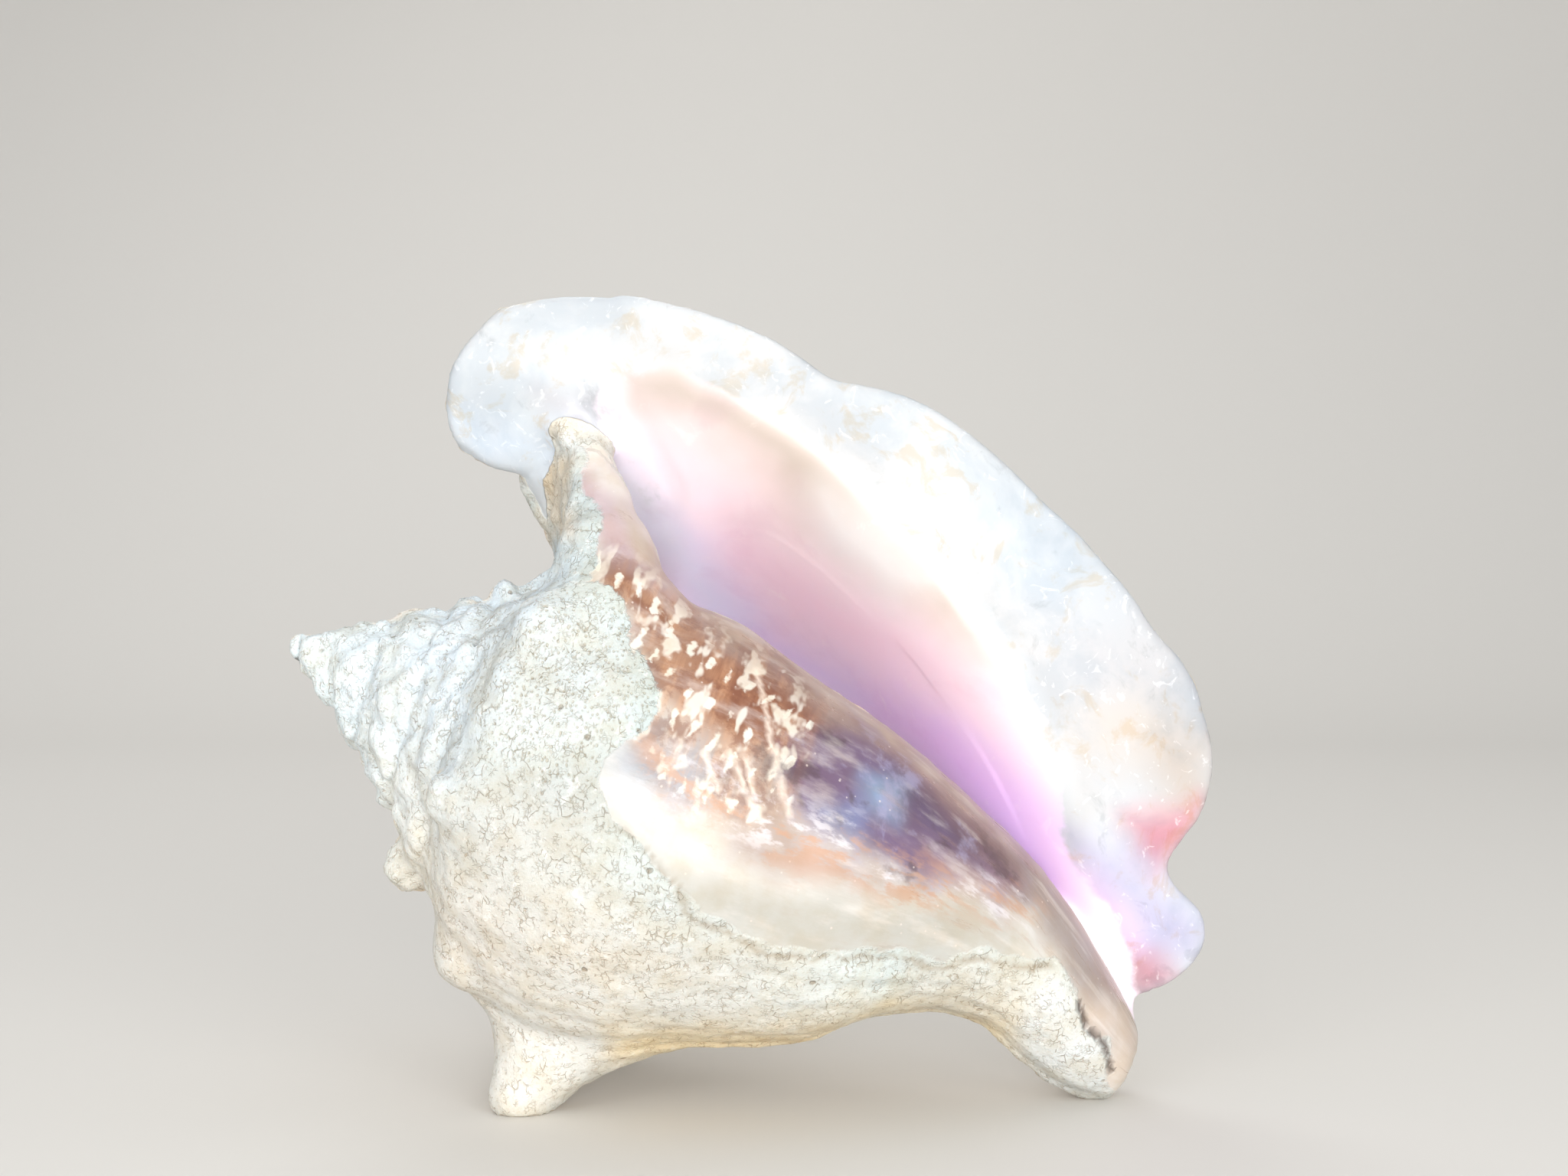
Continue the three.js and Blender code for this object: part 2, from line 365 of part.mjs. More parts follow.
// ------------------------------------------------- surface of the solid
function surface(lo, hi, h) {
  const n = [0, 1, 2].map((i) => Math.floor((hi[i] - lo[i]) / h) + 1), [nx, ny, nz] = n;
  const F = new Float32Array(nx * ny * nz), at = (i, j, k) => (i * ny + j) * nz + k;
  for (let i = 0; i < nx; i++) for (let j = 0; j < ny; j++) for (let k = 0; k < nz; k++) F[at(i, j, k)] = solid(lo[0] + i * h, lo[1] + j * h, lo[2] + k * h);
  // no two sheets may share an edge: fill the sample that would let them touch
  const step = [ny * nz, nz, 1];
  for (let pass = 0, changed = 1; pass < 30 && changed; pass++) {
    changed = 0;
    for (let i = 0; i < nx - 1; i++) for (let j = 0; j < ny - 1; j++) for (let k = 0; k < nz - 1; k++) {
      const o = at(i, j, k);
      for (let ax = 0; ax < 3; ax++) {
        const s1 = step[(ax + 1) % 3], s2 = step[(ax + 2) % 3], c = [o, o + s1, o + s1 + s2, o + s2], n = c.map((q) => F[q] < 0);
        if (n[0] === n[2] && n[1] === n[3] && n[0] !== n[1]) { const out = n[0] ? [c[1], c[3]] : [c[0], c[2]]; F[F[out[0]] < F[out[1]] ? out[0] : out[1]] = -0.02; changed = 1; }
      }
      for (let d = 0; d < 4; d++) {
        const x = d & 1, y = d >> 1, p = o + x * step[0] + y * step[1], q = o + (1 - x) * step[0] + (1 - y) * step[1] + step[2];
        if (F[p] < 0 !== F[q] < 0) continue;
        let others = 0;
        for (let w = 0; w < 8; w++) { const r = o + (w & 1) * step[0] + (w >> 1 & 1) * step[1] + (w >> 2) * step[2]; if (r !== p && r !== q && F[r] < 0 !== F[p] < 0) others++; }
        if (others === 6) { F[p] = F[p] < 0 ? 0.02 : -0.02; changed = 1; }
      }
    }
  }
  const id = new Int32Array(nx * ny * nz).fill(-1), V = [], T = [];
  for (let i = 0; i < nx - 1; i++) for (let j = 0; j < ny - 1; j++) for (let k = 0; k < nz - 1; k++) {
    let m = 0, s = [0, 0, 0], c = 0;
    for (let q = 0; q < 8; q++) if (F[at(i + (q & 1), j + (q >> 1 & 1), k + (q >> 2))] < 0) m++;
    if (m === 0 || m === 8) continue;
    for (let q = 0; q < 8; q++) for (let ax = 0; ax < 3; ax++) {
      if (q >> ax & 1) continue;
      const o = [q & 1, q >> 1 & 1, q >> 2], w = q | 1 << ax;
      const f0 = F[at(i + o[0], j + o[1], k + o[2])], f1 = F[at(i + (w & 1), j + (w >> 1 & 1), k + (w >> 2))];
      if ((f0 < 0) === (f1 < 0)) continue;
      o[ax] += f0 / (f0 - f1); s = s.map((v, e) => v + o[e]); c++;
    }
    id[at(i, j, k)] = V.length / 3;
    V.push(lo[0] + (i + s[0] / c) * h, lo[1] + (j + s[1] / c) * h, lo[2] + (k + s[2] / c) * h);
  }
  const quad = (a, b, c, d) => T.push(a, b, c, a, c, d);
  for (let i = 1; i < nx - 1; i++) for (let j = 1; j < ny - 1; j++) for (let k = 1; k < nz - 1; k++) {
    const inside = F[at(i, j, k)] < 0;
    if (inside !== F[at(i + 1, j, k)] < 0) { const q = [id[at(i, j - 1, k - 1)], id[at(i, j, k - 1)], id[at(i, j, k)], id[at(i, j - 1, k)]]; inside ? quad(...q) : quad(...q.reverse()); }
    if (inside !== F[at(i, j + 1, k)] < 0) { const q = [id[at(i - 1, j, k - 1)], id[at(i - 1, j, k)], id[at(i, j, k)], id[at(i, j, k - 1)]]; inside ? quad(...q) : quad(...q.reverse()); }
    if (inside !== F[at(i, j, k + 1)] < 0) { const q = [id[at(i - 1, j - 1, k)], id[at(i, j - 1, k)], id[at(i, j, k)], id[at(i - 1, j, k)]]; inside ? quad(...q) : quad(...q.reverse()); }
  }
  for (let v = 0; v < V.length; v += 3) for (let it = 0; it < 2; it++) {       // settle onto the surface
    const [x, y, z] = [V[v], V[v + 1], V[v + 2]], f = solid(x, y, z), e = 0.25;
    const g = [(solid(x + e, y, z) - solid(x - e, y, z)) / (2 * e), (solid(x, y + e, z) - solid(x, y - e, z)) / (2 * e), (solid(x, y, z + e) - solid(x, y, z - e)) / (2 * e)];
    const g2 = Math.max(g[0] ** 2 + g[1] ** 2 + g[2] ** 2, 0.15), step = -f / g2, L = Math.abs(step) * Math.hypot(...g), k = L > 0.8 ? 0.8 / L : 1;
    for (let c = 0; c < 3; c++) V[v + c] += g[c] * step * k;
  }
  return largest(V, T);
}
// the outer skin only: pockets closed off inside the solid are filled
function largest(V, T) {
  const up = Int32Array.from({ length: V.length / 3 }, (_, i) => i);
  const root = (i) => { while (up[i] !== i) { up[i] = up[up[i]]; i = up[i]; } return i; };
  for (let t = 0; t < T.length; t += 3) { up[root(T[t])] = root(T[t + 1]); up[root(T[t])] = root(T[t + 2]); }
  const size = new Map();
  for (let t = 0; t < T.length; t += 3) size.set(root(T[t]), (size.get(root(T[t])) || 0) + 1);
  const keep = [...size].sort((a, b) => b[1] - a[1])[0][0], map = new Map(), oV = [], oT = [];
  for (let t = 0; t < T.length; t += 3) if (root(T[t]) === keep) for (let k = 0; k < 3; k++) {
    const w = T[t + k];
    if (!map.has(w)) { map.set(w, oV.length / 3); oV.push(V[3 * w], V[3 * w + 1], V[3 * w + 2]); }
    oT.push(map.get(w));
  }
  return [Float64Array.from(oV), Uint32Array.from(oT)];
}

// --------------------------------------- fewer facets, same shape
function reduce(V, T, target, maxLen) {
  const nv = V.length / 3, nt = T.length / 3;
  const Q = new Float64Array(nv * 10);
  const alive = new Uint8Array(nt).fill(1);
  const vt = Array.from({ length: nv }, () => new Set());
  const sub = (a, b) => [V[3 * a] - V[3 * b], V[3 * a + 1] - V[3 * b + 1], V[3 * a + 2] - V[3 * b + 2]];
  const cross = (a, b) => [a[1] * b[2] - a[2] * b[1], a[2] * b[0] - a[0] * b[2], a[0] * b[1] - a[1] * b[0]];
  const addPlane = (i, n, d, w) => {
    const q = i * 10, [a, b, c] = n;
    Q[q] += w * a * a; Q[q + 1] += w * a * b; Q[q + 2] += w * a * c; Q[q + 3] += w * a * d;
    Q[q + 4] += w * b * b; Q[q + 5] += w * b * c; Q[q + 6] += w * b * d;
    Q[q + 7] += w * c * c; Q[q + 8] += w * c * d; Q[q + 9] += w * d * d;
  };
  for (let t = 0; t < nt; t++) {
    const [i, j, k] = [T[3 * t], T[3 * t + 1], T[3 * t + 2]];
    const n = cross(sub(j, i), sub(k, i)); const L = Math.hypot(...n);
    vt[i].add(t); vt[j].add(t); vt[k].add(t);
    if (L < 1e-12) continue;
    n[0] /= L; n[1] /= L; n[2] /= L;
    const d = -(n[0] * V[3 * i] + n[1] * V[3 * i + 1] + n[2] * V[3 * i + 2]);
    for (const v of [i, j, k]) addPlane(v, n, d, L / 2);
  }
  const cost = (q, p) => {
    const [x, y, z] = p;
    return q[0] * x * x + 2 * q[1] * x * y + 2 * q[2] * x * z + 2 * q[3] * x + q[4] * y * y + 2 * q[5] * y * z + 2 * q[6] * y + q[7] * z * z + 2 * q[8] * z + q[9];
  };
  const ver = new Int32Array(nv), dead = new Uint8Array(nv);
  const heap = [];
  const push = (e) => { let i = heap.length; heap.push(e); while (i > 0) { const p = (i - 1) >> 1; if (heap[p].c <= heap[i].c) break; [heap[p], heap[i]] = [heap[i], heap[p]]; i = p; } };
  const pop = () => { const r = heap[0], l = heap.pop(); if (heap.length) { heap[0] = l; let i = 0; for (;;) { let m = i; const a = 2 * i + 1, b = a + 1; if (a < heap.length && heap[a].c < heap[m].c) m = a; if (b < heap.length && heap[b].c < heap[m].c) m = b; if (m === i) break; [heap[m], heap[i]] = [heap[i], heap[m]]; i = m; } } return r; };
  const edge = (u, v) => {
    const q = new Float64Array(10); for (let i = 0; i < 10; i++) q[i] = Q[u * 10 + i] + Q[v * 10 + i];
    const A = [q[0], q[1], q[2], q[1], q[4], q[5], q[2], q[5], q[7]], b = [-q[3], -q[6], -q[8]];
    const det = A[0] * (A[4] * A[8] - A[5] * A[7]) - A[1] * (A[3] * A[8] - A[5] * A[6]) + A[2] * (A[3] * A[7] - A[4] * A[6]);
    const pu = [V[3 * u], V[3 * u + 1], V[3 * u + 2]], pv = [V[3 * v], V[3 * v + 1], V[3 * v + 2]];
    const mid = [(pu[0] + pv[0]) / 2, (pu[1] + pv[1]) / 2, (pu[2] + pv[2]) / 2];
    const len = Math.hypot(pu[0] - pv[0], pu[1] - pv[1], pu[2] - pv[2]);
    const cand = [mid, pu, pv];
    const tr = q[0] + q[4] + q[7];
    if (Math.abs(det) > 1e-4 * tr * tr * tr) {
      const x = (b[0] * (A[4] * A[8] - A[5] * A[7]) - A[1] * (b[1] * A[8] - A[5] * b[2]) + A[2] * (b[1] * A[7] - A[4] * b[2])) / det;
      const y = (A[0] * (b[1] * A[8] - A[5] * b[2]) - b[0] * (A[3] * A[8] - A[5] * A[6]) + A[2] * (A[3] * b[2] - b[1] * A[6])) / det;
      const z = (A[0] * (A[4] * b[2] - b[1] * A[7]) - A[1] * (A[3] * b[2] - b[1] * A[6]) + b[0] * (A[3] * A[7] - A[4] * A[6])) / det;
      if (Math.hypot(x - mid[0], y - mid[1], z - mid[2]) < len) cand.unshift([x, y, z]);
    }
    let best = null, bc = Infinity;
    for (const p of cand) { const c = cost(q, p); if (c < bc - 1e-9) { bc = c; best = p; } }
    push({ c: Math.max(bc, 0) + 1e-5 * len * len * (len > maxLen ? 1e4 : 1), u, v, p: best, a: ver[u], b: ver[v] });
  };
  for (let t = 0; t < nt; t++) for (let e = 0; e < 3; e++) { const u = T[3 * t + e], v = T[3 * t + (e + 1) % 3]; if (u < v) edge(u, v); }
  const nbrs = (u) => { const s = new Set(); for (const t of vt[u]) for (let e = 0; e < 3; e++) { const w = T[3 * t + e]; if (w !== u) s.add(w); } return s; };
  let left = nt;
  while (left > target && heap.length) {
    const e = pop(), { u, v, p } = e;
    if (dead[u] || dead[v] || ver[u] !== e.a || ver[v] !== e.b) continue;
    const nu = nbrs(u), nvv = nbrs(v);
    let common = 0; for (const w of nu) if (nvv.has(w)) common++;
    if (common !== 2 || !nu.has(v)) continue;
    let ok = true;
    for (const [c, o] of [[u, v], [v, u]]) {
      for (const t of vt[c]) {
        const tri = [T[3 * t], T[3 * t + 1], T[3 * t + 2]];
        if (tri.includes(o)) continue;
        const pts = tri.map((w) => w === c ? p : [V[3 * w], V[3 * w + 1], V[3 * w + 2]]);
        const old = tri.map((w) => [V[3 * w], V[3 * w + 1], V[3 * w + 2]]);
        const nn = (q) => cross([q[1][0] - q[0][0], q[1][1] - q[0][1], q[1][2] - q[0][2]], [q[2][0] - q[0][0], q[2][1] - q[0][1], q[2][2] - q[0][2]]);
        const a = nn(pts), b = nn(old), la = Math.hypot(...a), lb = Math.hypot(...b);
        const dot = (a[0] * b[0] + a[1] * b[1] + a[2] * b[2]);
        if (la < 1e-3 || (lb > 1e-6 && dot < 0.35 * la * lb)) { ok = false; break; }
        const e0 = Math.hypot(pts[1][0] - pts[0][0], pts[1][1] - pts[0][1], pts[1][2] - pts[0][2]), e1 = Math.hypot(pts[2][0] - pts[1][0], pts[2][1] - pts[1][1], pts[2][2] - pts[1][2]), e2 = Math.hypot(pts[2][0] - pts[0][0], pts[2][1] - pts[0][1], pts[2][2] - pts[0][2]);
        if (la / Math.max(e0, e1, e2) ** 2 < 0.06) { ok = false; break; }
      }
      if (!ok) break;
    }
    if (!ok) continue;
    V[3 * u] = p[0]; V[3 * u + 1] = p[1]; V[3 * u + 2] = p[2];
    for (let i = 0; i < 10; i++) Q[u * 10 + i] += Q[v * 10 + i];
    for (const t of [...vt[v]]) {
      const has = T[3 * t] === u || T[3 * t + 1] === u || T[3 * t + 2] === u;
      if (has) { alive[t] = 0; left--; for (let k = 0; k < 3; k++) vt[T[3 * t + k]].delete(t); }
      else { for (let k = 0; k < 3; k++) if (T[3 * t + k] === v) T[3 * t + k] = u; vt[u].add(t); }
    }
    vt[v].clear(); dead[v] = 1; ver[u]++;
    for (const w of nbrs(u)) edge(Math.min(u, w), Math.max(u, w));
  }
  const map = new Map(), oV = [], oT = [];
  for (let t = 0; t < nt; t++) if (alive[t]) for (let k = 0; k < 3; k++) {
    const w = T[3 * t + k]; if (!map.has(w)) { map.set(w, oV.length / 3); oV.push(V[3 * w], V[3 * w + 1], V[3 * w + 2]); }
    oT.push(map.get(w));
  }
  return [Float64Array.from(oV), Uint32Array.from(oT)];
}

// ------------------------------------------------------------------ the shell
const [fineV, fineT] = surface([-118, -60, -12], [108, 96, 194], GRID);
const [V, T] = reduce(fineV, fineT, TRIANGLES, LONGEST_EDGE);
// the three feet are worn flat on the surface that the shell lies on
for (let i = 0; i < V.length; i += 3) {
  V[i] -= CENTRE_X; V[i + 1] -= CENTRE_Y;
  if (V[i + 2] < FOOT_WEAR) V[i + 2] = 0;
}
const geometry = new THREE.BufferGeometry();
geometry.setAttribute('position', new THREE.BufferAttribute(Float32Array.from(V), 3));
geometry.setIndex(new THREE.BufferAttribute(T, 1));
geometry.computeVertexNormals();

const shell = new THREE.Mesh(geometry, new THREE.MeshStandardMaterial({ color: 0xE9DDCB, roughness: 0.55, metalness: 0 }));
shell.name = 'conch_shell';
const group = new THREE.Group();
group.add(shell);
export default group;
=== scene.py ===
import math
import bpy
import numpy as np
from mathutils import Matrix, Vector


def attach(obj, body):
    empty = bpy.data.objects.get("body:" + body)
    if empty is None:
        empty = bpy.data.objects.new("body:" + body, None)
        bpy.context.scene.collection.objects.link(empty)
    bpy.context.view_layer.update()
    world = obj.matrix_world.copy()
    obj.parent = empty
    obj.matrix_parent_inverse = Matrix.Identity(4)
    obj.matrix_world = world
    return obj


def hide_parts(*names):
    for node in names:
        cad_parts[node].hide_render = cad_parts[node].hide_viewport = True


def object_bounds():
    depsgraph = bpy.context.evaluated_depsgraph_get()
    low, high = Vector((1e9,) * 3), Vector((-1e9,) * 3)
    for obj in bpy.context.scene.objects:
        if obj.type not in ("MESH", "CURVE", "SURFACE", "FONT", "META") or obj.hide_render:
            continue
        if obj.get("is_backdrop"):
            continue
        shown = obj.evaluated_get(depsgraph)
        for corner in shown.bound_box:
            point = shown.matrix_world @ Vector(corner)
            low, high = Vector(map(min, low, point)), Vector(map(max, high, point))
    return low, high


# Queen conch shell, one grown piece. Shape tables are in millimetres in the
# shell's own layout and are moved onto the frame's origin at the end.
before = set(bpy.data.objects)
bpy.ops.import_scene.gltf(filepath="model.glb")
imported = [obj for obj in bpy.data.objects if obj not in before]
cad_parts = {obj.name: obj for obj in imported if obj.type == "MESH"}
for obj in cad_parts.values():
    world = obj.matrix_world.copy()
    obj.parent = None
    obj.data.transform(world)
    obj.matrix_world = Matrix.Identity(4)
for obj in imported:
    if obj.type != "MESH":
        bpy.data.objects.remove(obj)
size = {"frame": [[float(c) for c in v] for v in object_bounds()]}

STEP = 1.34          # mesh step
CENTRE = np.array([-6.73, 18.12, 0.0])  # middle of the shell in the layout below

# ------------------------------------------------------------------ dimensions
TILT = math.radians(22.0)
U = np.array([math.cos(TILT), 0, -math.sin(TILT)])
V = np.array([-math.sin(TILT), 0, -math.cos(TILT)])
APEX = np.array([-113.5, 0.0, 106.4])
WALL, HANDOVER, NODULES = 5.0, 300.0, 8.5
BEND_A, BEND_P = [0, 140, 156, 168, 180, 190, 200, 210, 218, 226], [0, 0, 0.3, 1, 3.8, 8, 12.8, 17, 19.8, 21.5]
BACK_A, BACK_Y = [0, 170, 190, 205, 218, 226], [0, 0, 1.5, 4, 7, 8.5]
SUT_T = [-5.5, -5, -4.5, -4, -3.5, -3, -2.5, -2, -1.5, -1, -0.5, 0, 0.25, 0.5, 0.75, 1]
SUT_A = [0.8, 2, 3.8, 6, 8.4, 11.3, 14.6, 19.2, 24, 30.2, 37.2, 39.6, 45.2, 50.5, 55, 56]
SUT_R = [1.8, 3, 4.2, 5.4, 6.6, 8.4, 10.6, 12.8, 16.4, 19.6, 26, 25.6, 31.5, 39, 42, 42]
BODY_A = [40, 46, 52, 58, 64, 70, 76, 82, 88, 94, 104, 114, 124, 134, 144, 154, 164, 174, 184, 194, 204, 212, 219, 224]
BODY_T = [-180, -135, -90, -45, 0, 45, 90, 135, 180, 225, 270, 315, 360]
BODY_R = np.array([
    (27.5, 27.5, 27.5, 27, 26.5, 30, 31, 32, 33, 36, 38, 38, 36),
    (30, 30, 30, 30.5, 31, 35.5, 37.5, 36, 37, 38, 40, 40, 38),
    (32, 32, 32.5, 33.5, 35, 41, 44, 44, 42, 42, 42, 42, 40),
    (33.5, 33.5, 34.5, 36, 37.5, 43.5, 46.5, 49, 50, 48, 46, 44, 42),
    (35, 35, 36, 37.5, 39, 45, 48, 51.5, 55, 56, 55, 52, 49),
    (36, 36, 37, 38.5, 40.5, 46.5, 49.5, 53.5, 59, 62.5, 63, 61, 57),
    (36.5, 36.5, 38, 39.5, 42, 47.5, 50.5, 55, 61.5, 66.5, 69, 68, 63),
    (37, 37, 38, 40, 43, 48, 51, 56, 62.5, 68.5, 72.5, 72.5, 66),
    (37, 37, 38, 40, 43.2, 48, 51, 56, 62.5, 69.5, 74, 74.5, 68),
    (36.5, 36.5, 38, 40, 43, 47.5, 50.5, 55.5, 61.5, 69, 74, 75.5, 68),
    (35, 35, 36.5, 38.5, 40.8, 45.8, 49.5, 53.5, 58.5, 66, 72, 74, 67),
    (33, 33, 34.5, 36.5, 38, 43.5, 47, 50.3, 53, 61.5, 68, 71, 65),
    (30.5, 30.5, 32, 34, 36, 41, 44, 47, 49.2, 56, 62.5, 66, 61),
    (28, 28, 30, 32, 33.8, 38.5, 41, 43.5, 45, 50, 56, 60, 56),
    (25.5, 25.5, 27.5, 29.5, 31, 35, 37, 39, 39.3, 43.5, 49, 53, 50),
    (22.5, 22.5, 24.5, 26, 27.6, 30.8, 32, 32, 29.5, 35.5, 41.5, 45, 42),
    (19.5, 19.5, 21, 22.5, 24.3, 26.5, 26.5, 25.5, 23.6, 28.5, 34, 37, 35),
    (16.5, 16.5, 17.8, 19.5, 21.8, 22.8, 22.3, 20.5, 18.8, 23, 27.5, 30, 28),
    (14, 14, 15, 17, 19.8, 19.8, 18.8, 17.5, 17.2, 19.5, 22.5, 24.5, 23),
    (12, 12, 13, 14.8, 17.6, 17.8, 17, 16.6, 16.5, 17.5, 19, 20, 19),
    (10, 10, 11, 12.4, 14.6, 15, 14.8, 14.6, 14.2, 14.6, 15.2, 15.8, 15.4),
    (8, 8, 8.6, 9.8, 11.2, 11.8, 11.8, 11.6, 11, 11, 11.2, 11.6, 11.4),
    (5, 5, 5.4, 6, 6.8, 7.2, 7.2, 7, 6.4, 6, 6.2, 6.4, 6.6),
    (1, 1, 1, 1, 1, 1, 1, 1, 1, 1, 1, 1, 1),
])
LIP_RIMLINE = [
    (-52.4, 149.5), (-56.8, 147.7), (-61.8, 146.6), (-65.6, 147.2), (-71.3, 148.7), (-75.8, 151.9), (-79, 154.3), (-80.4, 158.8),
    (-79.9, 165.9), (-78.4, 171.3), (-75.9, 175.9), (-71.9, 180.9), (-66.8, 185.2), (-62.2, 186.7), (-55.6, 187.8), (-48.1, 188.1),
    (-40.7, 187.8), (-38.8, 188.5), (-33.2, 187.6), (-22, 184.8), (-11, 181.2), (-1.8, 177), (5.5, 172.2), (11.4, 168.4),
    (20.3, 166.9), (28.7, 164.7), (37.1, 160.6), (46.5, 153.8), (54, 147.3), (61.4, 139.8), (69.6, 132.4), (75.8, 124.9),
    (82.2, 117.2), (86.7, 110.2), (93.4, 102.8), (97.2, 96.3), (99, 89.8), (100.9, 82.4), (100.9, 76), (99.7, 71.4),
    (97.6, 66), (93.2, 60.7), (90, 56.3), (89.6, 53.3), (91.5, 49.9), (95.3, 46.1), (97.8, 43.3), (98.7, 37.8),
    (96.2, 32.4), (90.5, 27.7), (85.3, 25), (82.4, 22.7),
]
LIP_RETURN = [
    (215, 14), (208, 12), (198, 7), (186, 1.5), (172, -3), (156, -7), (140, -10), (124, -13),
    (108, -15), (92, -16), (78, -17), (66, -20), (57, -26),
]
LIP_BACK_EDGE = [
    (-50.3, 123.5), (-53.7, 131.1), (-55, 133.9), (-57.4, 138.7), (-59.7, 143.3), (-61.1, 146.5),
]
CREST_A = [-5, 10, 25, 40, 50, 58, 66, 74, 84, 95, 112, 130, 146, 160, 174, 186, 198, 208, 216, 226]
CREST_P = [-72, -76, -80, -85, -89, -91, -91, -90, -88.5, -86, -79, -70.5, -60.5, -51, -40.5, -30, -19, -10, -4, 4]
CREST_Y = [11, 9, 7, 5, 3.5, 2.5, 2, 1.5, 1.5, 2, 2.2, 2.2, 2, 1.5, 1, 1, 1.5, 2, 3, 4]
ROOT_P = [-46, -46, -45, -44, -44, -42, -34, -30, None, None, None, None, None, None, None, None, None, None, None, None]
ROOT_Y = [26, 28, 30, 33, 36, 44, 56, 62, None, None, None, None, None, None, None, None, None, None, None, None]
ROOT_S = [0.9, 0.8, 0.7, 0.6, 0.6, 0.6, 0.6, 0.58, None, None, None, None, None, None, None, None, None, None, None, None]
CONES = [
    (-51.8, 41.1, 90.9, -44.1, 32.7, 110.1, 11, 11.5, 8),
    (-44.1, 32.7, 110.1, -41.3, 17.5, 119.6, 11.5, 10, 10),
    (-41.3, 17.5, 119.6, -40.4, 0, 120.2, 10, 8.5, 10),
    (-38.3, -16, 115.9, -40.6, -10, 127.6, 14, 9.5, 8),
    (-40.6, -10, 127.6, -42.7, -2, 139.5, 9.5, 5.4, 6),
    (-42.7, -2, 139.5, -45.9, 5, 148.5, 5.4, 3.4, 8),
    (-45.9, 5, 148.5, -51, 9, 157, 3.4, 2, 9),
    (-40.8, -4, 125.4, -49.5, 36, 124, 7.5, 4.2, 4.5),
    (-41.9, -3, 129.4, -52, 36, 127.9, 6.5, 4.2, 4.5),
    (-43, -1, 133.3, -53.9, 36, 131.7, 5.5, 4.2, 4.5),
    (-43.6, 0, 137.2, -55.3, 35, 135.5, 4.5, 4.2, 4.5),
    (-44.7, 2, 141.4, -56.9, 34, 139.3, 3.6, 4.2, 4.5),
    (-45.6, 4, 145.6, -58.4, 32, 143, 3.2, 4.2, 4.5),
    (-46.5, 6, 149.2, -59.9, 29, 146.7, 3, 4.2, 4.5),
    (-49.4, -0.8, 28.7, -60.5, -6.6, 3.8, 13.5, 7.2, 8),
    (-38.8, 0, 24.4, -52.9, -4.6, 10.9, 14, 7, 10),
    (-61.5, -14.4, 42.8, -70.9, -17.7, 38.3, 12, 7, 6),
    (-63.2, -32.7, 76, -71, -40.4, 76.7, 8, 4.4, 6),
    (-58.8, -38, 71, -63.9, -38.5, 74.5, 8, 7, 8),
    (-49.7, -26, 104.2, -53.3, -32.2, 111.2, 9, 4.6, 7),
    (-39.5, -24.4, 107.9, -47.4, -27.1, 109.9, 8, 7, 8),
    (-51.2, 37.5, 36.3, -62.5, 62.1, 3.1, 17, 6.2, 9),
    (-38.3, 40.3, 31, -50.8, 52.5, 16, 12, 6, 10),
    (-44.6, 56.3, 63.4, -54.7, 81.8, 62.3, 16, 5.6, 9),
    (-35.9, 52.6, 95.7, -44.6, 72.8, 108.7, 15, 5.6, 9),
    (-80.4, 0, 62.8, -86.9, 0, 54.2, 8, 5.6, 4),
    (-72.7, 2.8, 111.3, -74.6, 3.1, 114.7, 4, 2.6, 3),
    (-63.7, 0.8, 112.2, -64.9, 0, 118.6, 5, 3, 3),
    (-80.1, 19.8, 71.6, -83.4, 26.2, 66, 8, 5, 4),
    (-72.1, 28, 88.6, -73.7, 38, 88.9, 8, 5, 4),
    (-65, 20.1, 106.3, -65.3, 26, 112.2, 8, 4.6, 4),
]


# --------------------------------------------------------------------- helpers
def cubic(xs, ys, x):
    xs = np.asarray(xs, float); ys = np.asarray(ys, float); x = np.clip(x, xs[0], xs[-1])
    i = np.clip(np.searchsorted(xs, x, side="right") - 1, 0, len(xs) - 2)
    m = np.zeros_like(ys); h = np.diff(xs); hh = h if ys.ndim == 1 else h[:, None]
    d = np.diff(ys, axis=0) / hh
    m[1:-1] = (d[:-1] * hh[1:] + d[1:] * hh[:-1]) / (hh[1:] + hh[:-1]); m[0] = d[0]; m[-1] = d[-1]
    t = (x - xs[i]) / h[i]; H = h[i]
    if ys.ndim > 1:
        t = t[:, None]; H = H[:, None]
    return (2*t**3 - 3*t**2 + 1)*ys[i] + (t**3 - 2*t**2 + t)*H*m[i] + (-2*t**3 + 3*t**2)*ys[i+1] + (t**3 - t**2)*H*m[i+1]


def sstep(a, b, x):
    t = np.clip((x - a) / (b - a), 0, 1)
    return t * t * (3 - 2 * t)


def smin(a, b, k):
    h = np.clip(0.5 + 0.5 * (b - a) / k, 0, 1)
    return b + (a - b) * h - k * h * (1 - h)


def smax(a, b, k):
    return -smin(-a, -b, k)


def grid_read(G, x, y):
    x = np.clip(x, 0, G.shape[0] - 1.001); y = np.clip(y, 0, G.shape[1] - 1.001)
    i = x.astype(int); j = y.astype(int); fx = x - i; fy = y - j
    return (G[i, j]*(1-fx) + G[i+1, j]*fx)*(1-fy) + (G[i, j+1]*(1-fx) + G[i+1, j+1]*fx)*fy


def coil(P):
    d = P - APEX
    return d @ U, d @ V, d[:, 1]


# ------------------------------------------------------------------ shape model
_da = np.arange(36, 226.01, 0.5); _dt = np.arange(-180, 360.01, 1.5)
BODY = cubic(BODY_T, cubic(BODY_A, BODY_R, _da).T, _dt).T
_st = np.arange(-5.5, 1.001, 0.02); _sa = cubic(SUT_T, SUT_A, _st); _sr = cubic(SUT_T, SUT_R, _st)


def body(a, th):
    return grid_read(BODY, (a - 36) / 0.5, (th + 180) / 1.5)


def suture(t):
    return np.interp(t, _st, _sa), np.interp(t, _st, _sr)


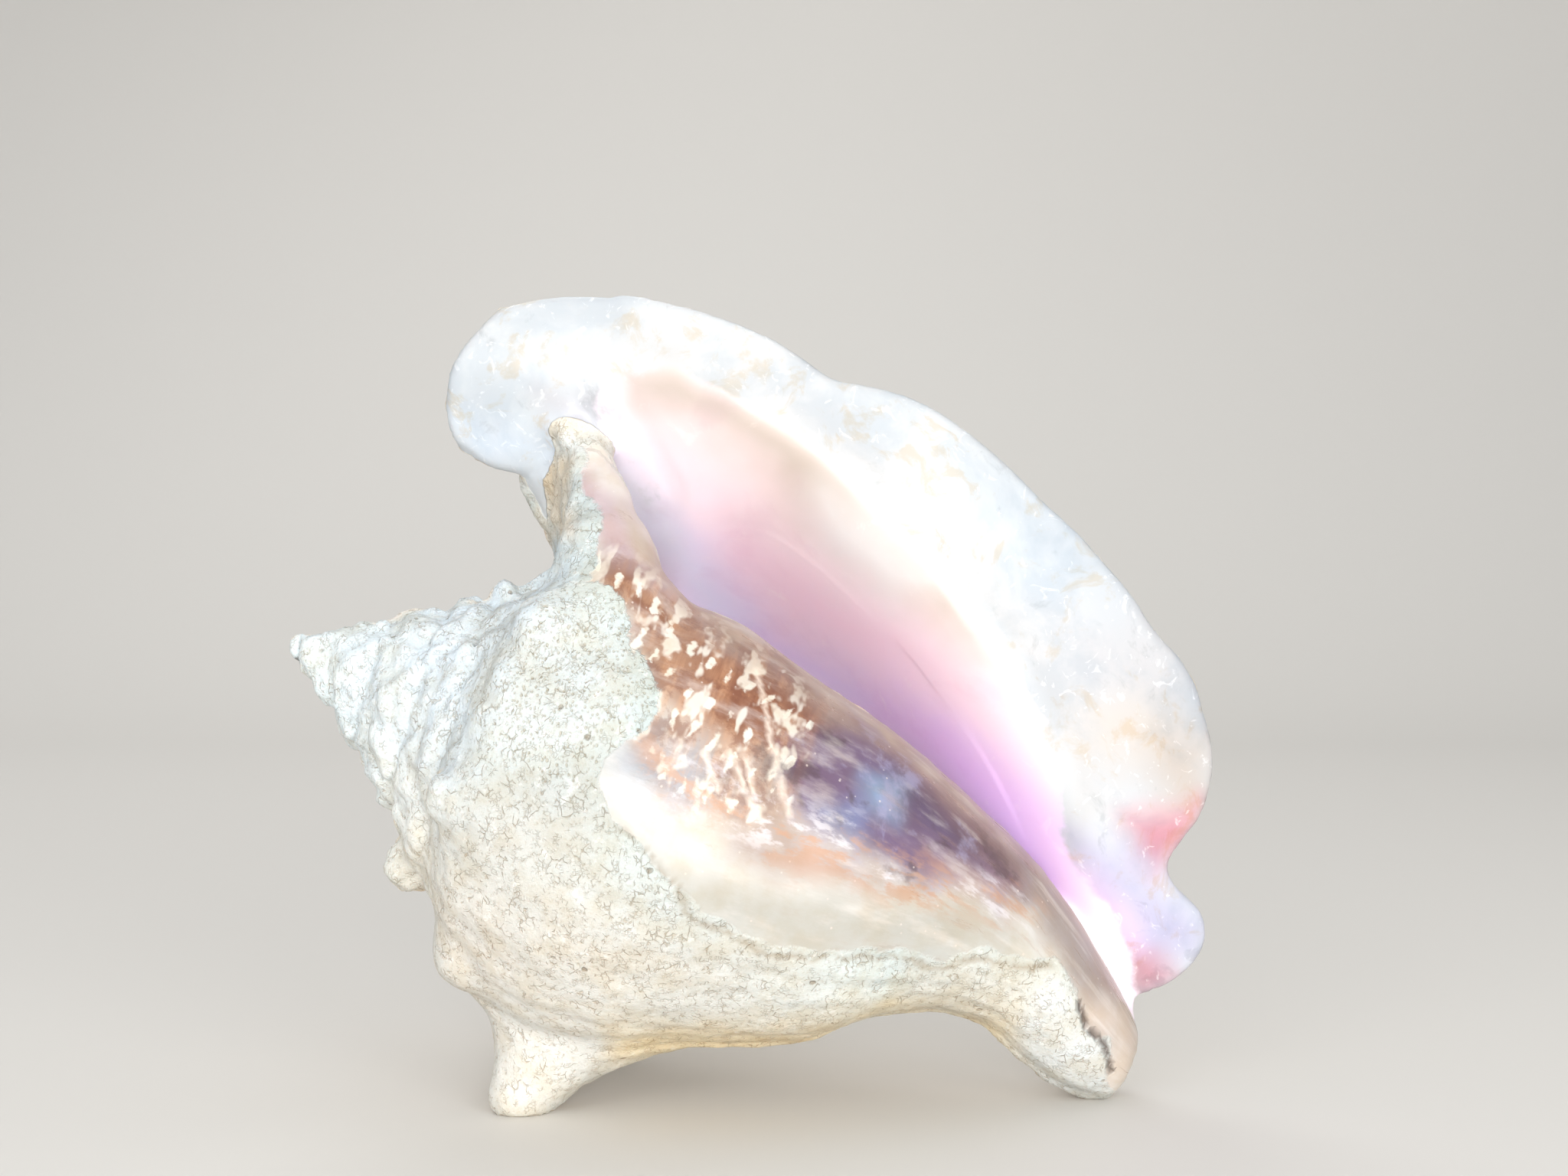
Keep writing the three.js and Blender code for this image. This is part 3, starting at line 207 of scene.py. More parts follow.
def spire(a, th):
    R = np.full(a.shape, -5.0)
    for k in range(7):
        t1 = th / 360.0 - k; t0 = t1 - 1
        a0, r0 = suture(np.maximum(t0, -5.5)); a1, r1 = suture(np.maximum(t1, -5.5))
        L = a1 - a0; s = (a - a0) / np.maximum(L, 1e-3); sc = np.clip(s, 0, 1)
        bulge = 0.17 * L * np.power(np.clip(4*sc*(1-sc), 0, 1), 0.75)
        knob = 0.13 * L * np.exp(-((sc - 0.70) / 0.22)**2) * np.clip(np.cos(t0 * NODULES * 2 * np.pi + 0.6), -0.2, 1) * sstep(-5.0, -2.5, t0)
        R = np.where((t0 >= -5.5) & (s >= 0) & (s <= 1), np.maximum(R, r0 + (r1 - r0) * sc + bulge + knob), R)
    return np.where((a < 2.0) & (a > -1.2), np.maximum(R, np.sqrt(np.clip((a + 1.2) * 2.4, 0, None)) * 0.95), R)


def whorl(a, th):
    a0, r0 = suture(th / 360.0)
    w = cubic([0, 90, 150, 180, 270, 360], [9, 9, 13, 16, 18, 15], th)
    s = np.clip((a - a0) / w, 0, 1)
    return np.where(a < a0, -5.0, r0 + (body(a, th) - r0) * np.sqrt(np.clip(1 - (1 - s)**2, 0, 1)))


_rp, _ry, _rs = [], [], []
for _i, _a in enumerate(CREST_A):
    if ROOT_P[_i] is not None:
        _rp.append(ROOT_P[_i]); _ry.append(ROOT_Y[_i]); _rs.append(ROOT_S[_i]); continue
    _pt = []
    for _ang in (HANDOVER, HANDOVER + 4):
        _R = float(whorl(np.array([_a * 1.0]), np.array([_ang]))[0]) - WALL / 2; _q = math.radians(_ang)
        _pt.append((np.interp(_a, BEND_A, BEND_P) - _R * math.cos(_q), np.interp(_a, BACK_A, BACK_Y) - _R * math.sin(_q)))
    _rp.append(_pt[0][0]); _ry.append(_pt[0][1]); _rs.append((_pt[1][1] - _pt[0][1]) / (_pt[1][0] - _pt[0][0]))


def lip_depth():
    GA = np.arange(-10, 240.01, 1.0); GP = np.arange(-130, 60.01, 1.0)
    ga, gp = np.meshgrid(GA, GP, indexing="ij")
    cp, cy, ip, iy, sl = (cubic(CREST_A, t, GA)[:, None] for t in (CREST_P, CREST_Y, _rp, _ry, _rs))
    h = cp - ip; t = np.clip((gp - ip) / h, 0, 1); cs = 0.10
    rise = (2*t**3 - 3*t**2 + 1)*iy + (t**3 - 2*t**2 + t)*h*sl + (-2*t**3 + 3*t**2)*cy + (t**3 - t**2)*h*cs
    curl = cubic([-10, 20, 60, 100, 140, 180, 210, 230], [0.010, 0.011, 0.010, 0.012, 0.012, 0.006, 0.006, 0.006], GA)[:, None]
    d = cp - gp; e = np.clip(d, 0, 60)
    out = cy - cs * e * np.exp(-e / 6.0) + curl * e**2 * np.exp(-e / 70.0)
    b = np.clip(gp - ip, 0, 60); near = iy + sl * b - 0.006 * b**2
    cpp = np.interp(ga, BEND_A, BEND_P); cyy = np.interp(ga, BACK_A, BACK_Y)
    pp = gp - cpp; y = iy + 0 * gp - cyy
    for _ in range(12):
        ps = np.degrees(np.arctan2(-y, -pp)) % 360
        R = whorl(ga.ravel(), np.clip(ps, 150, 330).ravel()).reshape(ga.shape) - WALL / 2
        y = 0.5 * y + 0.5 * np.sqrt(np.clip(R**2 - pp**2, 25, None))
    w = sstep(72, 82, ga); near = near * (1 - w) + (y + cyy) * w
    G = np.where(gp > ip, near, np.where(d > 0, out, rise))
    for _ in range(3):
        q = np.pad(G, 1, mode="edge"); G = (4*G + q[:-2, 1:-1] + q[2:, 1:-1] + q[1:-1, :-2] + q[1:-1, 2:]) / 8
    ga_, gp_ = np.gradient(G, 1.0)
    return G, np.sqrt(1 + ga_**2 + gp_**2)


DEPTH, SLANT = lip_depth()


def polygon_distance(X, Z, poly):
    """distance to a closed outline, negative inside"""
    d2 = np.full(X.shape, 1e9); inside = np.zeros(X.shape, bool); n = len(poly)
    for i in range(n):
        x1, z1 = poly[i]; x2, z2 = poly[(i + 1) % n]
        ex, ez = x2 - x1, z2 - z1
        t = np.clip(((X - x1)*ex + (Z - z1)*ez) / (ex*ex + ez*ez + 1e-12), 0, 1)
        d2 = np.minimum(d2, (X - x1 - t*ex)**2 + (Z - z1 - t*ez)**2)
        inside ^= ((z1 > Z) != (z2 > Z)) & (X < ex*(Z - z1)/(z2 - z1 + 1e-12) + x1)
    d = np.sqrt(d2)
    return np.where(inside, -d, d)


def polyline_distance(X, Z, pts):
    d2 = np.full(X.shape, 1e9)
    for (x1, z1), (x2, z2) in zip(pts[:-1], pts[1:]):
        ex, ez = x2 - x1, z2 - z1
        t = np.clip(((X - x1)*ex + (Z - z1)*ez) / (ex*ex + ez*ez + 1e-12), 0, 1)
        d2 = np.minimum(d2, (X - x1 - t*ex)**2 + (Z - z1 - t*ez)**2)
    return np.sqrt(d2)


def lip_outline():
    ret = [(APEX + a*U + p*V)[[0, 2]] for a, p in LIP_RETURN]
    P = np.array([*LIP_RIMLINE, *ret, *LIP_BACK_EDGE], float); out = []; n = len(P)
    for i in range(n):
        a, b, c, d = P[i-1], P[i], P[(i+1) % n], P[(i+2) % n]
        for j in range(3):
            t = j / 3
            out.append(0.5*(2*b + (c - a)*t + (2*a - 5*b + 4*c - d)*t*t + (3*b - a - 3*c + d)*t**3))
    gx, gz = np.meshgrid(np.arange(-120, 130.01, 1.0), np.arange(-20, 210.01, 1.0), indexing="ij")
    return polygon_distance(gx, gz, out)


OUTLINE = lip_outline()


def outline(X, Z):
    return grid_read(OUTLINE, X + 120, Z + 20)


def sheet(P):
    """lip sheet: (distance to its middle, distance to its outline, depth of its middle)"""
    a, p, y = coil(P)
    Y = grid_read(DEPTH, a + 10, p + 130); G = grid_read(SLANT, a + 10, p + 130)
    return (y - Y) / G, outline(P[:, 0], P[:, 2]), Y


def solid(P):
    a, p0, y0 = coil(P)
    p = p0 - np.interp(a, BEND_A, BEND_P); y = y0 - np.interp(a, BACK_A, BACK_Y)
    r = np.hypot(p, y); ps = np.degrees(np.arctan2(-y, -p)) % 360
    Rw = np.where(ps <= 180, whorl(a, np.clip(ps, 0, 180)), body(a, np.where(ps <= 180, ps, ps - 360)))
    Rs = spire(a, ps); a1, _ = suture(ps / 360.0)
    Rc = np.where(ps <= 180, np.where(a >= a1, Rw, Rs), np.where(a < a1, np.maximum(Rs, 0), np.maximum(Rw, -5)))
    end = (a - 216.8) * 0.95 + p * 0.06
    f = smax((r - Rc) * 0.8, end, 3.0)
    q = np.clip(ps, 150, 330); R = whorl(a, q)
    T = np.where(ps < 232, WALL + (1 - sstep(196, 232, ps)) * 45, WALL)
    T = T + 45 * (1 - sstep(4, 16, a - suture(q / 360)[0]))
    T = np.minimum(T, np.maximum(R - 2, 1))
    fw = np.maximum(np.abs(r - (R - T/2)) - T/2, np.maximum(168 - ps, ps - 300.5) * np.pi / 180 * r) * 0.85
    fw = smax(fw, end, 3.0)
    e = outline(P[:, 0], P[:, 2])
    t = cubic([-60, -25, -10, -3, 0], [6.0, 5.6, 5.0, 4.2, 3.6], np.clip(e, -60, 0))
    Y = grid_read(DEPTH, a + 10, p0 + 130); G = grid_read(SLANT, a + 10, p0 + 130)
    q1 = np.abs(y0 - Y) / G - (t/2 - 1.7); q2 = e + 1.7
    fl = np.minimum(np.maximum(q1, q2), 0) + np.hypot(np.maximum(q1, 0), np.maximum(q2, 0)) - 1.7
    f = smin(f, smin(fw, fl, 0.8), 3.0)
    for c in CONES:
        A = np.array(c[0:3]); d = np.array(c[3:6]) - A; L2 = d @ d
        s = np.clip(((P - A) @ d) / L2, 0, 1); w = P - A - s[:, None] * d
        near = np.sqrt((w * w).sum(1)) - (c[6] + (c[7] - c[6]) * s)
        f = smin(f, near, c[8])
    return np.maximum(f, -P[:, 2])


# ------------------------------------------------------------------- noise
_rng = np.random.default_rng(20)
_perm = _rng.permutation(512); _grad = _rng.normal(size=(512, 3)); _grad /= np.linalg.norm(_grad, axis=1, keepdims=True)


def noise(P, scale, seed=0):
    Q = P / scale + seed * 19.37; I = np.floor(Q).astype(int); F = Q - I; W = F*F*F*(F*(F*6 - 15) + 10)
    out = 0.0
    for i in (0, 1):
        for j in (0, 1):
            for k in (0, 1):
                h = _perm[(_perm[(_perm[(I[:, 0] + i) % 512] + I[:, 1] + j) % 512] + I[:, 2] + k) % 512]
                g = _grad[h]; d = F - np.array([i, j, k])
                w = (W[:, 0] if i else 1 - W[:, 0]) * (W[:, 1] if j else 1 - W[:, 1]) * (W[:, 2] if k else 1 - W[:, 2])
                out = out + w * (g * d).sum(1)
    return out * 1.6


def fbm(P, scale, seed=0, octaves=3):
    return sum(noise(P, scale / 2**o, seed + o) * 0.5**o for o in range(octaves))


# --------------------------------------------------------------- meshing
def sample(P):
    return np.concatenate([solid(P[i:i + 60000]) for i in range(0, len(P), 60000)]) if len(P) else np.zeros(0)


def sparse_grid(lo, hi, h):
    """values on an even grid, exact near the surface only"""
    n = [int(math.ceil((hi[i] - lo[i]) / h / 4)) * 4 + 1 for i in range(3)]
    F = None; lo = np.array(lo, float)
    for k in (4, 2, 1):
        s = [(m - 1) // k + 1 for m in n]; ax = [np.arange(m) for m in s]
        if F is None:
            need = np.ones(s, bool); G = np.zeros(s)
        else:
            G = F
            for d in range(3):                     # even interpolation onto the finer grid
                G = np.moveaxis(G, d, 0); H = np.empty((G.shape[0]*2 - 1,) + G.shape[1:])
                H[::2] = G; H[1::2] = (G[:-1] + G[1:]) / 2; G = np.moveaxis(H, 0, d)
            need = np.abs(G) < h * k * 3.2
        idx = np.argwhere(need)
        G[tuple(idx.T)] = sample(lo + idx * (h * k)).astype(float)
        F = G
    return F, lo


def settle_samples(F):
    """no two sheets may share an edge or a corner: fill the sample that would let them touch"""
    for _ in range(20):
        ins = F < 0; changed = 0
        for ax in range(3):
            b, c = (ax + 1) % 3, (ax + 2) % 3
            def sl(db, dc):
                s = [slice(None)] * 3
                s[b] = slice(db, F.shape[b] - 1 + db); s[c] = slice(dc, F.shape[c] - 1 + dc); return tuple(s)
            q = [ins[sl(0, 0)], ins[sl(1, 0)], ins[sl(1, 1)], ins[sl(0, 1)]]
            bad = (q[0] == q[2]) & (q[1] == q[3]) & (q[0] != q[1])
            for e in np.argwhere(bad):
                o = []
                for db, dc in ((0, 0), (1, 0), (1, 1), (0, 1)):
                    w = e.copy(); w[b] += db; w[c] += dc; o.append(tuple(w))
                out = [w for w in o if F[w] >= 0]
                if len(out) == 2:
                    F[min(out, key=lambda w: F[w])] = -0.02; changed += 1
        ins = F < 0
        cs = lambda i, j, k: ins[i:F.shape[0]-1+i, j:F.shape[1]-1+j, k:F.shape[2]-1+k]
        corner = {(i, j, k): cs(i, j, k) for i in (0, 1) for j in (0, 1) for k in (0, 1)}
        total = sum(v.astype(int) for v in corner.values())
        for p in ((0, 0, 0), (1, 0, 0), (0, 1, 0), (1, 1, 0)):
            q = (1 - p[0], 1 - p[1], 1 - p[2]); A, B = corner[p], corner[q]
            bad = (A == B) & (((total == 2) & A) | ((total == 6) & ~A))
            for e in np.argwhere(bad):
                w = tuple(e + np.array(p))
                F[w] = 0.02 if F[w] < 0 else -0.02; changed += 1
        if not changed:
            break
    return F


def surface_nets(F, lo, h):
    ins = F < 0; nx, ny, nz = F.shape
    c = np.zeros((nx-1, ny-1, nz-1), int); cor = [(i, j, k) for i in (0, 1) for j in (0, 1) for k in (0, 1)]
    for i, j, k in cor:
        c += ins[i:nx-1+i, j:ny-1+j, k:nz-1+k]
    act = (c > 0) & (c < 8); cells = np.argwhere(act); idx = -np.ones(act.shape, int); idx[tuple(cells.T)] = np.arange(len(cells))
    s = np.zeros((len(cells), 3)); n = np.zeros(len(cells))
    for i, j, k in cor:
        for ax in range(3):
            o = [i, j, k]
            if o[ax]:
                continue
            o2 = list(o); o2[ax] = 1
            f0 = F[cells[:, 0]+i, cells[:, 1]+j, cells[:, 2]+k]; f1 = F[cells[:, 0]+o2[0], cells[:, 1]+o2[1], cells[:, 2]+o2[2]]
            m = (f0 < 0) != (f1 < 0); t = np.where(m, f0 / np.where(m, f0 - f1, 1), 0)
            pt = np.tile(np.array([i, j, k], float), (len(cells), 1)); pt[:, ax] += t
            s += pt * m[:, None]; n += m
    verts = (cells + s / n[:, None]) * h + lo
    quads = []
    for ax in range(3):
        b, cx = (ax + 1) % 3, (ax + 2) % 3
        s0 = [slice(None)] * 3; s1 = [slice(None)] * 3; s0[ax] = slice(0, -1); s1[ax] = slice(1, None)
        A, B = ins[tuple(s0)], ins[tuple(s1)]
        for flip, msk in ((0, A & ~B), (1, ~A & B)):
            e = np.argwhere(msk)
            def g(db, dc):
                q = e.copy(); q[:, b] += db; q[:, cx] += dc; return idx[q[:, 0], q[:, 1], q[:, 2]]
            q = np.c_[g(-1, -1), g(0, -1), g(0, 0), g(-1, 0)]
            quads.append(q[:, ::-1] if flip else q)
    return verts, np.vstack(quads)


def largest(verts, quads):
    """the outer skin only: pockets closed off inside the solid are dropped"""
    label = np.arange(len(verts))
    while True:
        m = label[quads].min(1); new = label.copy()
        for k in range(4):
            np.minimum.at(new, quads[:, k], m)
        new = new[new]
        if (new == label).all():
            break
        label = new
    ids, count = np.unique(label[quads[:, 0]], return_counts=True); keep = label == ids[count.argmax()]
    remap = -np.ones(len(verts), int); remap[keep] = np.arange(keep.sum())
    return verts[keep], remap[quads[keep[quads[:, 0]]]]


def settle(P, steps=2, e=0.25):
    for _ in range(steps):
        f = sample(P); g = np.stack([(sample(P + np.eye(3)[i]*e) - f) / e for i in range(3)], 1)
        step = -(f / np.maximum((g*g).sum(1), 0.15))[:, None] * g
        L = np.linalg.norm(step, axis=1, keepdims=True)
        P = P + step * np.minimum(1, 0.8 / np.maximum(L, 1e-9))
    return P


def normals(P, Q):
    d = np.cross(P[Q[:, 2]] - P[Q[:, 0]], P[Q[:, 3]] - P[Q[:, 1]]); n = np.zeros_like(P)
    for k in range(4):
        np.add.at(n, Q[:, k], d)
    return n / np.maximum(np.linalg.norm(n, axis=1, keepdims=True), 1e-12)


F, lo = sparse_grid([-119, -61, -7], [109, 95, 194], STEP)
P, Q = largest(*surface_nets(settle_samples(F), lo, STEP))
P = settle(P)
N = normals(P, Q)

# ------------------------------------------------------------ zones of the skin
a, p, y = coil(P)
pc = p - np.interp(a, BEND_A, BEND_P); yc = y - np.interp(a, BACK_A, BACK_Y)
r = np.hypot(pc, yc); ps = np.degrees(np.arctan2(-yc, -pc)) % 360
ds, eo, Yl = sheet(P)
TO_EYE = np.array([0.0, -461.0, 125.0]) - P; TO_EYE /= np.linalg.norm(TO_EYE, axis=1, keepdims=True)
facing = (N * TO_EYE).sum(1)          # towards the side that the mouth opens to
on_sheet = sstep(5.0, 3.6, np.abs(ds)) * sstep(3.0, 1.0, eo)
front_sheet = on_sheet * sstep(0.6, -0.6, ds)
Rw = whorl(a, np.clip(ps, 150, 330))
hollow = ((ps > 196) & (ps < 345) & (r < Rw - 3.2) & (a > 52)).astype(float)
hollow[(N[:, 1] > 0.0) & (P[:, 1] > 20)] = 0           # the outer back is chalk
inner = np.clip(np.maximum(front_sheet, hollow), 0, 1)


# straight-on layout plane through the coil axis
k = 461.0 / (P[:, 1] + 461.0)
X0, Z0 = P[:, 0] * k, 125 + (P[:, 2] - 125) * k
wx, wz = fbm(P, 22, 3) * 2.2 + noise(P, 5, 8) * 0.7, fbm(P, 22, 6) * 2.2 + noise(P, 5, 11) * 0.7
front = sstep(-0.12, 0.12, facing)


def lin(h):
    v = np.array([int(h[i:i+2], 16) for i in (1, 3, 5)]) / 255.0
    return np.where(v <= 0.04045, v / 12.92, ((v + 0.055) / 1.055)**2.4)


def area(poly, soft, warp=1.0):
    """1 inside an outline in the layout plane, 0 outside, with a soft wandering edge"""
    X, Z = X0 + wx * warp, Z0 + wz * warp; q = np.array(poly)
    near = (X > q[:, 0].min() - soft) & (X < q[:, 0].max() + soft) & (Z > q[:, 1].min() - soft) & (Z < q[:, 1].max() + soft)
    m = np.zeros(len(P)); m[near] = sstep(soft, -soft, polygon_distance(X[near], Z[near], q)); return m


def lay(C, colour, m):
    return C + (lin(colour) - C) * m[:, None]


BODY_PAINT = [
    ("whole", [(-123.4, 120.6), (-75, 130.6), (-57.9, 149.1), (-37.9, 154.8), (-3.7, 112.1), (50.4, 69.3), (88.9, 20.9), (88.9, -7.6), (-75, -10.5), (-96.4, 35.1), (-123.4, 92.1)],
     "#ACB9B9", 0.9, 14),
    ("b_spire", [(-120.6, 114.9), (-79.3, 114.9), (-70.7, 100.7), (-82.1, 69.3), (-89.2, 66.5), (-104.9, 83.6), (-120.6, 97.8)],
     "#E6F0F1", 0.9, 10),
    ("b_low_spire", [(-96.4, 77.9), (-83.5, 86.4), (-76.4, 69.3), (-77.8, 43.7), (-89.2, 47.9), (-93.5, 63.6)],
     "#F0F1EA", 0.9, 8),
    ("b_shoulder", [(-83.5, 123.5), (-52.2, 123.5), (-55, 112.1), (-66.4, 106.4), (-77.8, 77.9), (-86.4, 83.6), (-85, 103.5)],
     "#D9E6F1", 0.9, 9),
    ("b_chest", [(-70.7, 112.1), (-43.6, 117.8), (-37.9, 100.7), (-40.8, 80.7), (-60.7, 75), (-75, 83.6)],
     "#C8CBC5", 0.9, 10),
    ("b_midl", [(-77.8, 80.7), (-40.8, 80.7), (-37.9, 63.6), (-49.3, 52.2), (-72.1, 52.2), (-79.3, 66.5)],
     "#B2B5B2", 0.9, 10),
    ("b_belly", [(-72.1, 52.2), (-49.3, 53.6), (-26.5, 46.5), (-9.4, 35.1), (-12.3, 23.7), (-49.3, 23.7), (-70.7, 35.1)],
     "#A7B4B7", 0.9, 10),
    ("b_low", [(-49.3, 25.1), (-9.4, 26.6), (24.8, 30.8), (26.2, 22.3), (4.8, 13.7), (-37.9, 12.3)],
     "#C9E1E7", 0.9, 8),
    ("b_knob", [(-83.5, 43.7), (-70.7, 43.7), (-60.7, 32.3), (-63.6, 25.1), (-80.7, 26.6)],
     "#E2E0DA", 0.9, 7),
    ("b_foot", [(-66.4, 26.6), (-40.8, 22.3), (-46.5, 9.5), (-57.9, -3.4), (-70.7, -0.5)],
     "#E2DCD0", 0.9, 8),
    ("b_right", [(26.2, 30.8), (53.2, 32.3), (67.5, 23.7), (58.9, 13.7), (39, 22.3)],
     "#C1CECF", 0.9, 7),
    # painted amber shadow at the left of the column neck
    ("amber_shadow", [(-60.7, 147), (-49.1, 149.4), (-49.3, 130.6), (-52.2, 131.3), (-57.2, 142)],
     "#D9BE92", 0.95, 2.5),
    ("colneck", [(-49.6, 150.5), (-43.6, 150.5), (-37.9, 134.9), (-46.5, 124.9), (-56.5, 117.8), (-60.7, 120.6), (-52.2, 130.6)],
     "#EDF1E6", 0.85, 4),
    ("spire_cool", [(-117.7, 114.9), (-49.3, 123.5), (-43.6, 132), (-46.5, 150.5), (-55, 150.5), (-55, 117.8), (-70.7, 83.6), (-82.1, 63.6), (-96.4, 72.2)],
     "#C1CAD0", 0.75, 16),
    ("beige_speck", [(-67.9, 107.8), (-55, 112.1), (-40.8, 112.1), (-35.1, 97.8), (-37.9, 86.4), (-53.6, 83.6), (-66.4, 92.1)],
     "#BDC3C3", 0.8, 9),
    ("warm_low", [(-92.1, 55.1), (-66.4, 63.6), (-18, 43.7), (24.8, 29.4), (60.4, 32.3), (81.7, 15.2), (81.7, -1.9), (-75, -7.6), (-89.2, 35.1)],
     "#D0CBC2", 0.85, 22),
    ("spineA", [(-69.3, 29.4), (-32.2, 20.9), (-37.9, 6.6), (-60.7, -4.8), (-70.7, 0.9)],
     "#DCDCD7", 0.7, 12),
    ("under", [(-37.9, 15.9), (3.4, 15.9), (24.8, 22.3), (53.2, 20.9), (61.8, 10.9), (50.4, 13.7), (24.8, 18.7), (-0.9, 10.9), (-37.9, 10.2)],
     "#F1D496", 0.75, 8),
    ("trans", [(-50.8, 77.9), (-37.9, 69.3), (-26.5, 55.1), (-3.7, 51.5), (24.8, 49.4), (50.4, 49.4), (57.5, 38), (51.8, 33.4), (39, 32), (26.2, 34.3), (10.5, 32.5), (-5.2, 35.1), (-18, 42.2), (-32.2, 52.2), (-46.5, 63.6)],
     "#A8A69E", 0.85, 8),
    ("tanmix", [(-37.9, 89.3), (-18, 86.4), (-0.9, 80.7), (4.8, 66.5), (10.5, 57.9), (-0.9, 55.1), (-15.1, 63.6), (-32.2, 70.7), (-40.8, 77.9)],
     "#8F7464", 0.8, 9),
    ("palebl", [(-42.2, 82.1), (-32.2, 85), (-19.4, 82.1), (-18, 75), (-26.5, 69.3), (-37.9, 70.7)],
     "#7A94AA", 0.55, 8),
    ("brown", [(-46.5, 122.7), (-37.9, 127.7), (-26.5, 119.9), (-11.6, 107.8), (0.5, 100.7), (10.5, 92.1), (14.8, 87.1), (6.2, 82.8), (-6.6, 82.4), (-18, 85.7), (-26.5, 92.1), (-33.7, 99.2), (-40.1, 107.8)],
     "#93684C", 0.95, 4.5),
    ("brownd", [(-18, 106.4), (-3.7, 100.7), (7.7, 92.1), (6.2, 85), (-5.2, 85), (-13.7, 93.5)],
     "#7F4A30", 0.7, 6),
    ("slate", [(-0.2, 81.4), (7.7, 88.5), (17.6, 88.5), (27.6, 82.8), (39, 72.9), (49, 62.9), (55.4, 52.9), (55.4, 47.2), (50.4, 47.2), (41.9, 51.5), (31.9, 51.5), (23.3, 55.1), (14.8, 60), (6.2, 65), (1.2, 70.7)],
     "#604969", 0.95, 4.5),
    ("slated", [(24.8, 77.9), (36.2, 73.6), (46.1, 63.6), (51.8, 55.1), (44.7, 55.1), (33.3, 63.6), (24.8, 69.3)],
     "#483B51", 0.6, 6),
    ("blotch1", [(7.7, 69.3), (16.2, 69.3), (19.1, 63.6), (13.4, 60), (7.7, 62.9)],
     "#6B7295", 0.85, 4),
    ("blotch2", [(19.1, 75), (26.2, 73.6), (24.8, 66.5), (19.1, 67.9)],
     "#8CAFCB", 0.6, 5),
    ("peach1", [(-15.1, 61.5), (-3.7, 62.9), (10.5, 59.3), (24.8, 54.3), (26.2, 49.4), (13.4, 50.1), (-0.9, 55.1), (-12.3, 56.5)],
     "#A2938F", 0.85, 5),
    ("peach2", [(31.9, 57.9), (41.9, 55.1), (53.2, 49.4), (51.8, 43.7), (40.4, 47.9), (31.9, 52.2)],
     "#A2837E", 0.6, 6),
    ("lowpeach", [(30.5, 31.5), (53.2, 32.5), (64.6, 25.1), (53.2, 18.7), (36.2, 20.9)],
     "#CCC8BD", 0.7, 8),
    ("band", [(-49.6, 144.8), (-43.6, 146.2), (-32.2, 129.2), (-19.4, 117), (-3.7, 105.2), (17.6, 92.8), (40.4, 76.4), (58.9, 57.9), (72.5, 38.7), (80.6, 23), (82, 13.7), (71.8, 16.6), (66.1, 28), (60.4, 40.8), (51.8, 52.2), (37.6, 67.9), (24.8, 80.7), (10.5, 90), (-3.7, 99.2), (-18, 109.9), (-32.2, 120.6), (-42.2, 127.7), (-49.3, 134.9)],
     "#765854", 0.8, 4),
    ("bandtop", [(-49.6, 149.1), (-44.8, 150.5), (-32.2, 130.6), (-20.8, 119.2), (-26.5, 117.8), (-36.5, 124.9), (-46.5, 132), (-49.9, 139.1)],
     "#BFAAAF", 0.75, 5),
    ("bandlow", [(57.5, 51.5), (67.5, 46.5), (80.6, 22.3), (82.3, 6.6), (71.8, 15.2), (66.1, 28), (58.9, 40.8)],
     "#998F8A", 0.8, 5),
    ("tip", [(67.5, 25.1), (81, 23), (82.9, 3.8), (76, 3.8), (74.6, 13.7), (69.6, 18)],
     "#CBBCAF", 0.75, 5),
    ("lipline", [(-37.9, 137.7), (-19.4, 118.5), (-3.7, 106.4), (17.6, 93.8), (40.4, 77.4), (58.9, 58.6), (73.2, 38), (74.3, 35.1), (57.5, 55.1), (39, 73.6), (16.2, 91.4), (-5.2, 104.2), (-20.8, 114.9), (-33.7, 126.3)],
     "#B1A28E", 0.65, 2.5),
    ("chalktip", [(51.8, 16.6), (60.4, 28), (67.5, 23), (70.6, 15.9), (74.9, 12), (76.3, 2.3), (66.1, 2.3), (56.1, 8)],
     "#CED1D0", 0.9, 5),
]
